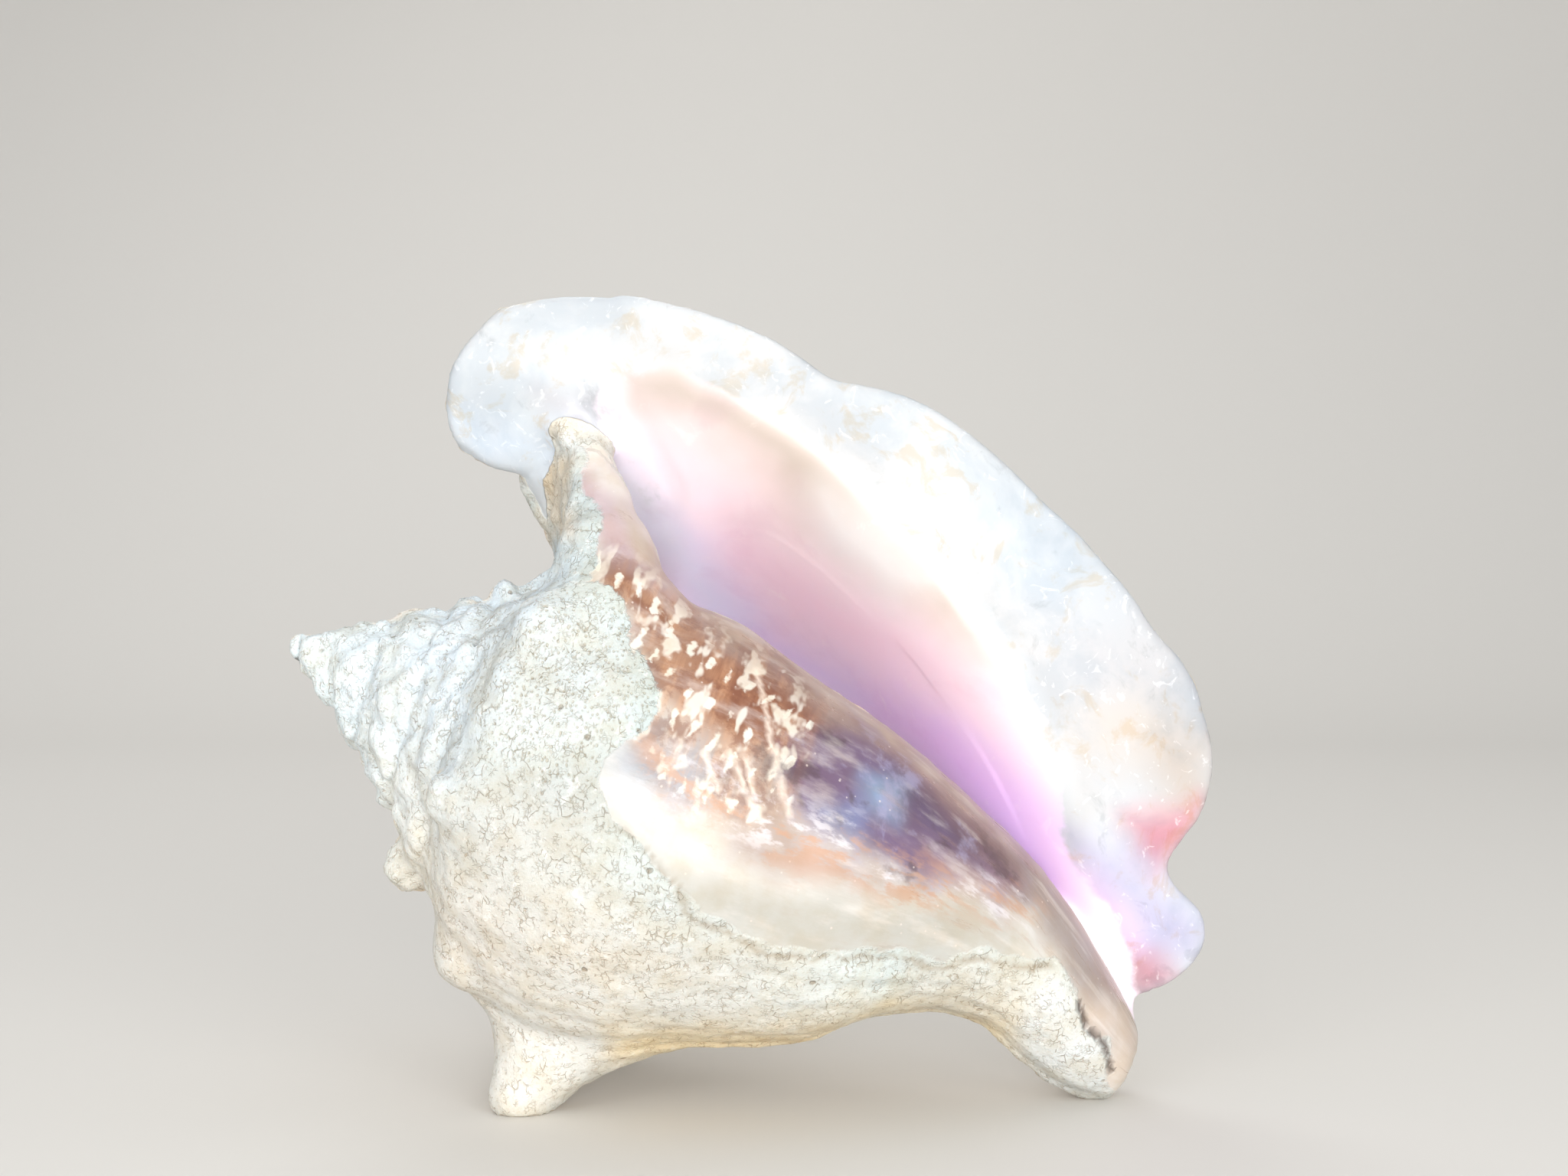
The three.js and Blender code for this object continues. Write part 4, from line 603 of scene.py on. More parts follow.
INNER_PAINT = [
    ("lilac", [(-40.8, 149.1), (-18, 124.9), (-3.7, 112.1), (19.1, 100.7), (40.4, 86.4), (57.5, 75), (67.5, 63.6), (68.9, 47.9), (60.4, 47.9), (39, 70.7), (10.5, 92.1), (-18, 112.1), (-32.2, 129.2), (-43.6, 146.2)],
     "#DCC8F1", 0.95, 9),
    ("lilac_r", [(21.9, 95), (39, 89.3), (57.5, 76.4), (66.8, 66.5), (68.9, 50.8), (63.2, 49.4), (50.4, 63.6), (33.3, 77.9), (19.1, 89.3)],
     "#E8C5EE", 0.85, 9),
    ("palelilac", [(-37.9, 144.8), (-26.5, 134.9), (-18, 124.9), (-9.4, 112.1), (-18, 112.1), (-26.5, 123.5), (-37.9, 136.3)],
     "#DBE1F1", 0.9, 8),
    ("salmon", [(-13.7, 140.6), (7.7, 124.9), (26.2, 112.1), (43.3, 103.5), (56.1, 89.3), (63.2, 77.9), (57.5, 76.4), (39, 92.1), (19.1, 100.7), (0.5, 110.6), (-12.3, 124.9)],
     "#F1D1DE", 0.9, 9),
    ("peach", [(-32.2, 164.8), (-18, 163.3), (0.5, 150.5), (19.1, 134.9), (36.2, 117.8), (49, 103.5), (58.9, 92.1), (63.2, 80.7), (56.1, 86.4), (39, 104.9), (19.1, 116.3), (0.5, 127.7), (-18, 144.8), (-30.8, 154.8)],
     "#E3CECD", 0.9, 11),
    ("cream1", [(-37.9, 169), (-25.1, 170.5), (-9.4, 163.3), (7.7, 153.4), (21.9, 139.1), (39, 120.6), (51.8, 104.9), (50.4, 99.2), (33.3, 113.5), (14.8, 130.6), (-3.7, 147.7), (-20.8, 161.9), (-35.1, 163.3)],
     "#AC9F92", 0.8, 8),
    ("yel", [(7.7, 142), (24.8, 132), (33.3, 120.6), (24.8, 117.8), (10.5, 129.2)],
     "#DFDEDE", 0.8, 9),
    ("channel", [(-46.5, 150.5), (-37.9, 153.4), (-26.5, 139.1), (-26.5, 132), (-37.9, 140.6)],
     "#E0E5F1", 0.8, 8),
]
LIP_PAINT = [
    ("crest", [(-37.9, 176.2), (-23.7, 177.6), (-6.6, 170.5), (10.5, 160.5), (26.2, 147.7), (40.4, 132), (54.7, 114.9), (66.1, 99.2), (72.5, 83.6), (73.9, 69.3), (68.9, 63.6), (63.2, 80.7), (53.2, 100.7), (37.6, 120.6), (21.9, 137.7), (4.8, 150.5), (-12.3, 160.5), (-26.5, 166.2)],
     "#ACA8A5", 0.85, 12),
    ("base2", [(58.9, 114.9), (84.6, 120.6), (100.3, 100.7), (98.8, 69.3), (81.7, 69.3), (67.5, 86.4)],
     "#ABA7A7", 0.7, 14),
    ("tan1", [(68.9, 92.1), (81.7, 93.5), (90.3, 89.3), (88.9, 79.3), (78.9, 77.9), (70.3, 82.1)],
     "#BCB2A8", 0.7, 7),
    ("tan2", [(86, 83.6), (97.4, 86.4), (98.1, 69.3), (88.9, 67.9)],
     "#B0A193", 0.7, 8),
    ("salm", [(78.9, 66.5), (96, 69.3), (93.1, 59.3), (87.4, 52.2), (81.7, 56.5)],
     "#C27683", 0.85, 6),
    ("lobe", [(66.1, 63.6), (81.7, 56.5), (88.9, 49.4), (97.4, 42.2), (96, 33.7), (84.6, 26.6), (78.9, 30.8), (70.3, 43.7)],
     "#A59EBA", 0.8, 8),
    ("lobepink", [(67.5, 55.1), (78.9, 43.7), (81.7, 35.1), (74.6, 38), (67.5, 47.9)],
     "#EBC3EA", 0.8, 6),
    ("lobesalm", [(77.5, 36.5), (86, 33.7), (91.7, 28), (81.7, 23), (78.6, 29.4)],
     "#B9828B", 0.85, 5),
    ("upblue", [(-76.4, 183.3), (-43.6, 187.6), (-18, 183.3), (24.8, 164.8), (53.2, 149.1), (39, 150.5), (10.5, 164.8), (-25.1, 179), (-53.6, 177.6), (-72.1, 163.3)],
     "#C2C1BF", 0.7, 14),
    ("grey1", [(46.1, 144.8), (67.5, 134.9), (84.6, 117.8), (78.9, 112.1), (60.4, 124.9)],
     "#A5ABB1", 0.7, 12),
    ("lobeshade", [(-76.4, 159.1), (-57.9, 154.8), (-46.5, 159.1), (-40.8, 150.5), (-55, 146.2), (-70.7, 147.7)],
     "#D2DEEC", 0.7, 9),
    ("warmin", [(-57.9, 166.2), (-43.6, 164.8), (-37.9, 154.8), (-46.5, 153.4)],
     "#A29BA0", 0.7, 8),
]
CALLUS = [(-45.8, 150.5), (-44.5, 142), (-42.8, 133.4), (-44.4, 124.9), (-47.6, 122), (-43.4, 117.5), (-38.5, 110.6), (-35.9, 103.5), (-33.4, 95), (-33.7, 87.8), (-40.1, 82.8), (-45.4, 75), (-42.9, 63.6), (-30.8, 52.9), (-18, 42.2), (-5.2, 35.1), (10.5, 32.5), (26.2, 34.3), (39, 32), (53.2, 33.4), (61.1, 31.5), (67.5, 25.1), (70.1, 17.3), (74.9, 13.5), (76.3, 6.6), (77.8, 1.6), (88.9, 1.6), (90.3, 20.9), (80.3, 30.8), (64.6, 55.1), (46.1, 76.4), (17.6, 99.2), (-3.7, 110.6), (-19.4, 123.5), (-32.2, 137.7), (-37.9, 149.1), (-42.2, 152.7)]
EDGE_LINE = [(-47.9, 151.2), (-44.4, 149.1), (-40.8, 144.8), (-36.2, 137), (-32.2, 129.9), (-26.5, 124.2), (-19.4, 117.8), (-11.6, 111.3), (-3.7, 106.1), (5.5, 100.4), (17.6, 93.5), (29, 86.4), (40.4, 77.1), (50.4, 67.9), (58.9, 58.6), (66.1, 49.4), (72.5, 39.4), (77.2, 30.8), (80.3, 23.7), (82, 13.7), (82.5, 5.2)]
INNER_LIMIT = [(-40.1, 149.1), (-43.6, 163.3), (-40.1, 168.3), (-29.4, 169), (-23.7, 170.5), (-9.4, 164.1), (7.7, 153.4), (21.2, 139.1), (36.9, 122), (50.4, 106.4), (57.5, 93.5), (63.2, 79.3), (66.1, 63.6), (67.5, 55.1), (73.9, 46.5), (80.3, 35.1), (81.7, 20.9), (71.8, 13.7), (60.4, 28), (39, 63.6), (-3.7, 100.7), (-32.2, 123.5)]
INNER_SOFT = 5.0
SPOT_AREA = [(-45.8, 124.9), (-37.9, 127.7), (-26.5, 119.2), (-12.3, 108.5), (0.5, 99.9), (8.4, 92.1), (6.2, 80.7), (-0.9, 70.7), (-12.3, 66.5), (-25.1, 70.7), (-33.7, 82.1), (-37.2, 95), (-41.5, 107.8)]
SLATE_AREA = [(-6.6, 82.1), (6.2, 90), (17.6, 88.5), (29, 81.4), (40.4, 71.4), (50.4, 60.8), (56.8, 49.4), (51.8, 45.1), (40.4, 49.4), (30.5, 49.4), (19.1, 55.1), (10.5, 60.8), (2, 66.5), (-5.2, 73.6)]
PIT_AREA = [(-69.3, 112.1), (-46.5, 120.6), (-35.1, 112.1), (-29.4, 92.1), (-37.9, 79.3), (-56.5, 77.9), (-70.7, 89.3)]
SPOTS = [
    (-29.53, 114.9, 3.14, 1.71, -0.7), (-23.41, 112.48, 1.71, 2.85, -0.17), (-16.57, 109.35, 2.85, 1.57, -0.52), (-27.4, 101.79, 1.43, 4.56, -0.17), (-32.24, 108.49, 1.28, 3.42, -0.26), (-18.42, 97.66, 3.42, 2.42, 0),
    (-9.16, 94.53, 3.85, 1.57, -0.61), (-8.45, 101.22, 2.14, 1, -0.7), (-17.14, 87.69, 4.28, 2.71, 0), (-9.16, 86.12, 4.28, 2.14, -0.17), (-0.61, 85.69, 3.14, 1.28, -0.44), (-24.4, 117.75, 1.28, 0.86, 0),
    (-17.71, 103.5, 1.57, 1.14, 0), (-12.01, 105.5, 1.28, 0.86, 0), (-2.89, 91.82, 3.14, 1.14, -0.35), (2.81, 93.53, 1.28, 0.71, 0), (-35.8, 114.19, 1.43, 2.28, 0), (-22.55, 92.11, 2.28, 1.28, 0),
    (-26.54, 85.69, 3.14, 1.71, 0), (-3.74, 82.13, 1.71, 1.14, 0), (-9.44, 69.31, 4.28, 1, 0), (-15.14, 70.73, 2.28, 1.14, 0), (-2.03, 62.9, 3.14, 1.14, 0), (11.22, 62.9, 2.28, 1.28, 0),
    (-5.17, 60.05, 1.71, 1, 0), (43.28, 65.03, 1.43, 0.71, -1.05), (47.55, 66.46, 1, 2.28, -0.35), (51.82, 55.06, 0.71, 2.85, -0.17), (53.96, 51.5, 0.57, 2, 0.17),
]
FOLD = [(-42.5, 165.5), (-40.1, 161.2), (-36.5, 152.7), (-33.7, 146.2), (-30.1, 140.6)]
CRACK = [(68.6, 22.6), (70.3, 17.3), (74.6, 13.7), (76, 7.3)]
SEAM = [(-38.7, 62.9), (-26.5, 52.9), (-18, 42.2), (-5.2, 35.1), (10.5, 32.5), (26.2, 34.3), (39, 32), (53.2, 33.4), (61.1, 31.1)]
INNER_WIDE = [(-37.9, 170.5), (-23.7, 174), (-3.7, 165.5), (13.4, 155.5), (27.6, 139.8), (43.3, 124.2), (57.5, 107.1), (66.1, 92.1), (71.8, 75), (73.2, 59.3), (66.1, 63.6), (60.4, 80.7), (50.4, 97.8), (33.3, 114.9), (16.2, 130.6), (-3.7, 146.2), (-19.4, 157.6), (-32.2, 161.9)]
TAN_AREA = [(-37.9, 86.4), (-26.5, 69.3), (-9.4, 59.3), (10.5, 51.5), (31.9, 46.5), (53.2, 40.8), (57.5, 45.1), (50.4, 49.4), (31.9, 55.1), (14.8, 63.6), (-0.9, 73.6), (-18, 79.3)]
SCRATCHES = [[(-18.7, 82.1), (-17.3, 77.9), (-15.1, 72.2)], [(-13, 82.1), (-10.9, 77.9), (-8.7, 72.2), (-5.2, 65)], [(-6.6, 100.7), (-4.5, 93.5), (-3, 83.6), (1.2, 66.5)], [(-8.7, 80.7), (-7.3, 72.2)]]
CHALKY = ("whole", "b_spire", "b_low_spire", "b_shoulder", "b_chest", "b_midl", "b_belly", "b_low", "b_knob", "b_foot", "b_right", "spire_cool", "beige_speck", "warm_low", "spineA", "under", "lowpeach", "chalktip", "amber_shadow")

# outside: chalk; the cooler, whiter tint by the spire is painted sky light and the warmer tint low down is painted
# shade
low = sstep(120, 20, P[:, 2] + 0.35 * P[:, 0])
C = np.tile(lin("#ECE6DC"), (len(P), 1))
C = lay(C, "#EDDDC3", low * 0.9)
C = lay(C, "#E6E7EA", sstep(46, 18, a) * 0.8)
C = lay(C, "#E3D2B4", np.clip(fbm(P, 40, 31) * 1.4, 0, 0.45))
back = sstep(0.05, -0.25, facing) * (1 - inner)
C = lay(C, "#F1ECE4", back * 0.55)
C = lay(C, "#E2CDAE", back * np.clip(0.55 * np.sin(ps * 0.30 + 1.6 * noise(P, 30, 211)) + 0.25, 0, 0.5))
C = lay(C, "#F3EFE8", np.clip(-fbm(P, 30, 37) * 1.3, 0, 0.5))
crease_shade = np.clip(-(f_h := sample(P + N * 2.6) - 2.2) / 1.6, 0, 1)        # painted warm shade in the creases
C = lay(C, "#CDB793", crease_shade * 0.55 * (1 - inner))
K = np.tile(lin("#CFCAC2"), (len(P), 1))                  # glossy callus over the chalk
for name, poly, colour, strength, soft in BODY_PAINT:
    m = area(poly, soft) * strength * front * (1 - inner)
    if name in CHALKY:
        C = lay(C, colour, m)
    else:
        K = lay(K, colour, m)

# inside: pink and cream enamel
I = np.tile(lin("#F6E6F0"), (len(P), 1))
I = lay(I, "#B9ABA0", 0.9 * area(INNER_WIDE, 9.0))
for name, poly, colour, strength, soft in INNER_PAINT:
    I = lay(I, colour, area(poly, soft, 0.8) * strength)
W = np.tile(lin("#C4C8CB"), (len(P), 1))
for name, poly, colour, strength, soft in LIP_PAINT:
    W = lay(W, colour, area(poly, soft) * strength)
lipmask = 1 - area(INNER_LIMIT, INNER_SOFT, 0.7)
lipmask = np.where(hollow > 0.5, 0, lipmask)
callus = area(CALLUS, 6.0, 1.4) * front * (1 - inner)
far = sstep(6, 16, polyline_distance(X0, Z0, EDGE_LINE))                # the glaze thins away from the column
thin = sstep(0.35, 0.85, area(CALLUS, 13.0, 1.2)) * far + (1 - far)
K = 0.86 * C + (K - 0.86 * C) * thin[:, None]
callus *= 0.15 + 0.85 * thin
seam = sstep(0.85, 0.25, polyline_distance(X0 + 1.3 * wx, Z0 + 1.3 * wz, SEAM)) * front * (1 - inner)
brown = area(SPOT_AREA, 5.0) * front * (1 - inner)
slate = area(SLATE_AREA, 5.0) * front * (1 - inner)
pits = np.clip(area(PIT_AREA, 12.0) * 1.0 * front + 0.25 + 0.3 * fbm(P, 25, 51), 0, 1) * (1 - inner)
spot = np.zeros(len(P))
for cx, cz, rx, rz, turn in SPOTS:
    ca, sa = math.cos(turn), math.sin(turn); dx, dz = X0 + 0.35 * wx - cx, Z0 + 0.35 * wz - cz
    spot = np.maximum(spot, sstep(1.5, 0.35, np.hypot((dx*ca + dz*sa) / rx, (dz*ca - dx*sa) / rz)) * front * (1 - inner))
to_edge = polyline_distance(X0 + wx, Z0 + wz, EDGE_LINE)
dashes = sstep(0.0, 0.9, np.sin((0.83 * X0 - 0.55 * Z0) * 2 * np.pi / 5.6 + 2.4 * noise(P, 12, 201))) * sstep(4.0, 9.0, to_edge)
dashes *= sstep(-0.5, 0.7, np.sin(to_edge * 2 * np.pi / 8.5 + 2.0 * noise(P, 10, 203)) + 0.25)
spot = np.maximum(0.50 * spot, dashes * front * (1 - inner))
tan = area(TAN_AREA, 6.0, 1.5) * front * (1 - inner)
crack = sstep(1.0, 0.25, polyline_distance(X0, Z0, CRACK)) * front * (1 - inner)
scratch = np.zeros(len(P))
for line in SCRATCHES:
    scratch = np.maximum(scratch, sstep(0.9, 0.2, polyline_distance(X0, Z0, line)) * front * (1 - inner))

# ------------------------------------------------------------ relief of the skin
chalk = (1 - inner) * (1 - callus)
rough = 0.30 * fbm(P, 9, 61) + 0.16 * noise(P, 3.4, 66)
worn = sstep(60, 36, a) + 0.35 * sstep(70, 45, a)
cords = 0.22 * np.cos((a + 0.5 * noise(P, 18, 71)) * 2 * np.pi / 6.4) * sstep(60, 76, a) * sstep(210, 190, a) * sstep(0.1, -0.3, facing)
grow = 0.35 * noise(np.c_[ps * 0.55, a * 0.12, 0 * a], 3.2, 75) * (1 - inner) * sstep(50, 64, a)
disp = chalk * (rough + cords + grow) + chalk * worn * (1.25 * noise(P, 6.2, 81) + 0.60 * noise(P, 3.1, 84)) - 0.22 * seam
disp += inner * 0.30 * noise(P * np.array([1, 1, 1]), 26, 91) * (1 - hollow)
disp += callus * 0.10 * noise(P, 7, 95)
fold = polyline_distance(X0, Z0, FOLD)
disp += inner * (0.35 * sstep(5.0, 0.2, fold) - 0.20 * sstep(3.2, 1.0, np.abs(fold - 5.4)))

disp *= sstep(0.3, 2.5, P[:, 2])
P = P + N * disp[:, None]
P[:, 2] = np.maximum(P[:, 2], 0)
P[:, 2] = np.where(P[:, 2] < 0.35, 0, P[:, 2])
lo_box, hi_box = (np.array(v) * 1000 for v in size["frame"])
P = np.clip(P - CENTRE, lo_box, hi_box) 

# ------------------------------------------------------------ the piece
mesh = bpy.data.meshes.new("shell_skin")
T = np.vstack([Q[:, [0, 1, 2]], Q[:, [0, 2, 3]]])
short = np.linalg.norm(P[Q[:, 1]] - P[Q[:, 3]], axis=1) < np.linalg.norm(P[Q[:, 0]] - P[Q[:, 2]], axis=1)
T = np.vstack([np.where(short[:, None], Q[:, [0, 1, 3]], Q[:, [0, 1, 2]]), np.where(short[:, None], Q[:, [1, 2, 3]], Q[:, [0, 2, 3]])])
mesh.vertices.add(len(P)); mesh.vertices.foreach_set("co", (P / 1000).astype(np.float32).ravel())
mesh.loops.add(len(T) * 3); mesh.loops.foreach_set("vertex_index", T.astype(np.int32).ravel())
mesh.polygons.add(len(T)); mesh.polygons.foreach_set("loop_start", np.arange(0, len(T) * 3, 3, dtype=np.int32))
mesh.update(calc_edges=True); mesh.validate()
mesh.polygons.foreach_set("use_smooth", np.ones(len(mesh.polygons), bool))


def store(name, values):
    v = np.clip(values, 0, 1)
    if v.ndim == 2:
        t = mesh.color_attributes.new(name, "FLOAT_COLOR", "POINT")
        t.data.foreach_set("color", np.c_[v, np.ones(len(v))].astype(np.float32).ravel())
    else:
        t = mesh.attributes.new(name, "FLOAT", "POINT"); t.data.foreach_set("value", v.astype(np.float32))


# the lip white is carried along the inner fold: partly the fold's pale enamel, partly a painted highlight
lipmask = np.maximum(lipmask, 0.40 * sstep(5.0, 1.4, fold) * (hollow < 0.5))
store("skin", C); store("callus", K); store("enamel", I); store("rim", W)
for name, v in (("m_inner", inner), ("m_lip", lipmask), ("m_callus", callus), ("m_brown", brown), ("m_slate", slate), ("m_spot", spot),
                ("m_pit", pits), ("m_seam", seam), ("m_tan", tan), ("m_crack", crack), ("m_scratch", scratch), ("m_worn", np.clip(worn, 0, 1) * chalk)):
    store(name, v)
growth = mesh.attributes.new("growth", "FLOAT_VECTOR", "POINT")
growth.data.foreach_set("vector", (np.c_[a, ps * math.pi / 180 * 45, 0 * a] / 1000).astype(np.float32).ravel())

shell = bpy.data.objects.new("shell", mesh)
bpy.context.scene.collection.objects.link(shell)
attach(shell, "root")
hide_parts("conch_shell")

# ------------------------------------------------------------------ material
mat = bpy.data.materials.new("shell"); mat.use_nodes = True
nt = mat.node_tree; nt.nodes.clear()


def node(kind, **kw):
    n = nt.nodes.new(kind)
    for key, v in kw.items():
        setattr(n, key, v)
    return n


def put(socket, v):
    if isinstance(v, bpy.types.NodeSocket):
        nt.links.new(v, socket)
    elif v is not None:
        socket.default_value = v


def calc(op, a, b=None, clamp=False):
    n = node("ShaderNodeMath", operation=op, use_clamp=clamp); put(n.inputs[0], a); put(n.inputs[1], b); return n.outputs[0]


def mix(fac, a, b, blend="MIX"):
    n = node("ShaderNodeMix", data_type="RGBA", blend_type=blend); put(n.inputs[0], fac)
    for s, v in ((n.inputs[6], a), (n.inputs[7], b)):
        put(s, (*lin(v), 1) if isinstance(v, str) else v)
    return n.outputs[2]


def blendf(fac, a, b):
    n = node("ShaderNodeMix", data_type="FLOAT"); put(n.inputs[0], fac); put(n.inputs[2], a); put(n.inputs[3], b); return n.outputs[0]


def step(v, lo, hi):
    n = node("ShaderNodeMapRange", interpolation_type="SMOOTHSTEP"); put(n.inputs[0], v)
    put(n.inputs[1], lo); put(n.inputs[2], hi); put(n.inputs[3], 0.0); put(n.inputs[4], 1.0); return n.outputs[0]


def mask(name):
    return node("ShaderNodeAttribute", attribute_name=name).outputs["Fac"]


def tint(name):
    return node("ShaderNodeAttribute", attribute_name=name).outputs["Color"]


def grain(vec, scale, detail=3.0, rough=0.5, warp=0.0):
    n = node("ShaderNodeTexNoise"); put(n.inputs["Vector"], vec); put(n.inputs["Scale"], scale); put(n.inputs["Detail"], detail)
    put(n.inputs["Roughness"], rough); put(n.inputs["Distortion"], warp); return n.outputs["Fac"]


def cells(vec, scale, feature="F1", random=1.0):
    n = node("ShaderNodeTexVoronoi", feature=feature); put(n.inputs["Vector"], vec); put(n.inputs["Scale"], scale)
    put(n.inputs["Randomness"], random); return n.outputs["Distance"]


def shifted(vec, scale, amount):
    t = node("ShaderNodeTexNoise"); put(t.inputs["Vector"], vec); put(t.inputs["Scale"], scale); put(t.inputs["Detail"], 2.0)
    s = node("ShaderNodeVectorMath", operation="SCALE"); put(s.inputs[0], t.outputs["Color"]); put(s.inputs["Scale"], amount)
    m = node("ShaderNodeVectorMath", operation="ADD"); put(m.inputs[0], vec); put(m.inputs[1], s.outputs[0]); return m.outputs[0]


def stretched(vec, sx, sy, sz):
    m = node("ShaderNodeVectorMath", operation="MULTIPLY"); put(m.inputs[0], vec); put(m.inputs[1], (sx, sy, sz)); return m.outputs[0]


where = node("ShaderNodeTexCoord").outputs["Object"]
grow_at = node("ShaderNodeAttribute", attribute_name="growth").outputs["Vector"]
warped = shifted(where, 260.0, 0.0022)

m_inner = step(mask("m_inner"), 0.40, 0.60)
edge_noise = grain(where, 170.0, 4.0, 0.6)
ragged = grain(shifted(where, 200.0, 0.004), 110.0, 5.0, 0.68)
m_callus = step(calc("ADD", mask("m_callus"), calc("MULTIPLY", calc("SUBTRACT", ragged, 0.5), calc("ADD", 0.9, calc("MULTIPLY", mask("m_brown"), 1.1)))), 0.40, 0.56)
m_chalk = calc("MULTIPLY", calc("SUBTRACT", 1.0, m_inner), calc("SUBTRACT", 1.0, m_callus))

# chalk: short hairlines, sparse pits, powdery grain
wander = shifted(shifted(where, 420.0, 0.0020), 110.0, 0.006)
hair = step(cells(stretched(wander, 1.0, 1.0, 0.62), 520.0, "DISTANCE_TO_EDGE"), 0.060, 0.008)
hair = calc("MULTIPLY", hair, step(grain(where, 330.0, 3.0, 0.6), 0.50, 0.60))
hair2 = calc("MULTIPLY", step(cells(shifted(where, 700.0, 0.0012), 1150.0, "DISTANCE_TO_EDGE"), 0.11, 0.02), step(grain(where, 520.0, 2.0), 0.50, 0.62))
hairs = calc("MAXIMUM", hair, calc("MULTIPLY", hair2, 0.55))
fine = grain(where, 420.0, 4.0, 0.6)
pit_at = step(calc("ADD", mask("m_pit"), calc("MULTIPLY", grain(where, 210.0, 3.0), 0.8)), 0.72, 1.15)
pit_d = calc("ADD", cells(stretched(where, 1.0, 1.0, 0.7), 980.0, "F1"), calc("MULTIPLY", calc("SUBTRACT", fine, 0.5), 0.35))
pit = calc("MULTIPLY", step(pit_d, 0.34, 0.16), pit_at)
big_d = calc("ADD", cells(where, 150.0, "F1"), calc("MULTIPLY", calc("SUBTRACT", fine, 0.5), 0.20))
big = calc("MULTIPLY", step(big_d, 0.12, 0.06), step(grain(where, 55.0, 2.0), 0.50, 0.58))
powder = grain(where, 1100.0, 4.0, 0.7)
mottle = grain(where, 120.0, 5.0, 0.6)
skin = tint("skin")
skin = mix(calc("MULTIPLY", step(mottle, 0.62, 0.34), calc("MULTIPLY", m_chalk, 0.50)), skin, "#F0E4D0", "MULTIPLY")
skin = mix(calc("MULTIPLY", step(fine, 0.58, 0.70), calc("MULTIPLY", m_chalk, 0.30)), skin, "#F2F1EC")
skin = mix(calc("MULTIPLY", calc("MULTIPLY", hairs, m_chalk), 0.50), skin, "#C9B291", "MULTIPLY")
skin = mix(calc("MULTIPLY", calc("MULTIPLY", pit, m_chalk), 0.42), skin, "#DCC8A6", "MULTIPLY")
skin = mix(calc("MULTIPLY", calc("MULTIPLY", big, m_chalk), 0.55), skin, "#A88B62", "MULTIPLY")
skin = mix(calc("MULTIPLY", step(powder, 0.47, 0.32), calc("MULTIPLY", m_chalk, 0.40)), skin, "#E2D8C8", "MULTIPLY")

# brown band with cream rows of spots, slate band with flecks
m_brown = mask("m_brown"); m_slate = mask("m_slate")
glaze = tint("callus")
streak = grain(stretched(grow_at, 1.0, 0.22, 1.0), 300.0, 4.0, 0.6)
dash = grain(shifted(stretched(grow_at, 1.0, 0.55, 1.0), 140.0, 0.0035), 250.0, 2.0, 0.55)
band_rows = node("ShaderNodeTexWave", wave_type="BANDS", bands_direction="X", wave_profile="SIN")
put(band_rows.inputs["Vector"], shifted(grow_at, 90.0, 0.0040)); put(band_rows.inputs["Scale"], 32.0); put(band_rows.inputs["Distortion"], 1.5)
put(band_rows.inputs["Detail"], 2.0); put(band_rows.inputs["Detail Scale"], 2.0)
rows = calc("ADD", calc("MULTIPLY", dash, 1.0), calc("MULTIPLY", band_rows.outputs["Fac"], 0.16))
rows = calc("MULTIPLY", step(rows, 0.60, 0.72), m_brown)
glaze = mix(calc("MULTIPLY", step(streak, 0.42, 0.66), calc("MULTIPLY", m_brown, 0.40)), glaze, "#C89B78")
glaze = mix(calc("MULTIPLY", step(grain(shifted(grow_at, 70.0, 0.006), 150.0, 5.0, 0.66), 0.55, 0.42), calc("MULTIPLY", m_brown, 0.55)), glaze, "#6E3F2E")
blob = calc("ADD", mask("m_spot"), calc("MULTIPLY", calc("SUBTRACT", ragged, 0.5), 1.1))
blob = calc("ADD", blob, calc("MULTIPLY", calc("SUBTRACT", dash, 0.5), 1.1))
blob = calc("MULTIPLY", step(calc("ADD", blob, calc("MULTIPLY", calc("SUBTRACT", fine, 0.5), 1.2)), 0.50, 0.95), step(m_brown, 0.15, 0.5))
rows = calc("MAXIMUM", calc("MULTIPLY", rows, 0.75), calc("MULTIPLY", blob, 0.85))
glaze = mix(rows, glaze, "#E2DCD0")
cloud = grain(shifted(where, 60.0, 0.010), 85.0, 5.0, 0.62)
glaze = mix(calc("MULTIPLY", step(cloud, 0.52, 0.66), calc("MULTIPLY", m_slate, 0.55)), glaze, "#9A96B4")
glaze = mix(calc("MULTIPLY", step(cloud, 0.44, 0.34), calc("MULTIPLY", m_slate, 0.55)), glaze, "#4B3A3C")
fleck = step(cells(where, 330.0, "F1"), 0.115, 0.05)
fleck = calc("MULTIPLY", fleck, step(grain(where, 100.0, 2.0), 0.46, 0.56))
glaze = mix(calc("MULTIPLY", fleck, 0.55), glaze, "#DCCFC8")
veil = grain(stretched(grow_at, 0.35, 1.0, 1.0), 130.0, 5.0, 0.62)
glaze = mix(calc("MULTIPLY", step(veil, 0.50, 0.72), 0.35), glaze, "#DDD6D0")
glaze = mix(calc("MULTIPLY", step(veil, 0.46, 0.30), 0.22), glaze, "#A98C7A")
glaze = mix(calc("MULTIPLY", mask("m_scratch"), 0.6), glaze, "#EFE3D6")
tan_at = grain(shifted(stretched(grow_at, 0.5, 1.0, 1.0), 60.0, 0.006), 150.0, 5.0, 0.66)
glaze = mix(calc("MULTIPLY", step(tan_at, 0.49, 0.60), calc("MULTIPLY", mask("m_tan"), 0.75)), glaze, "#B58A6C")
glaze = mix(calc("MULTIPLY", step(tan_at, 0.46, 0.36), calc("MULTIPLY", mask("m_tan"), 0.60)), glaze, "#D9D6DC")
glaze = mix(calc("MULTIPLY", step(mottle, 0.62, 0.34), 0.45), glaze, "#F0E4D0", "MULTIPLY")
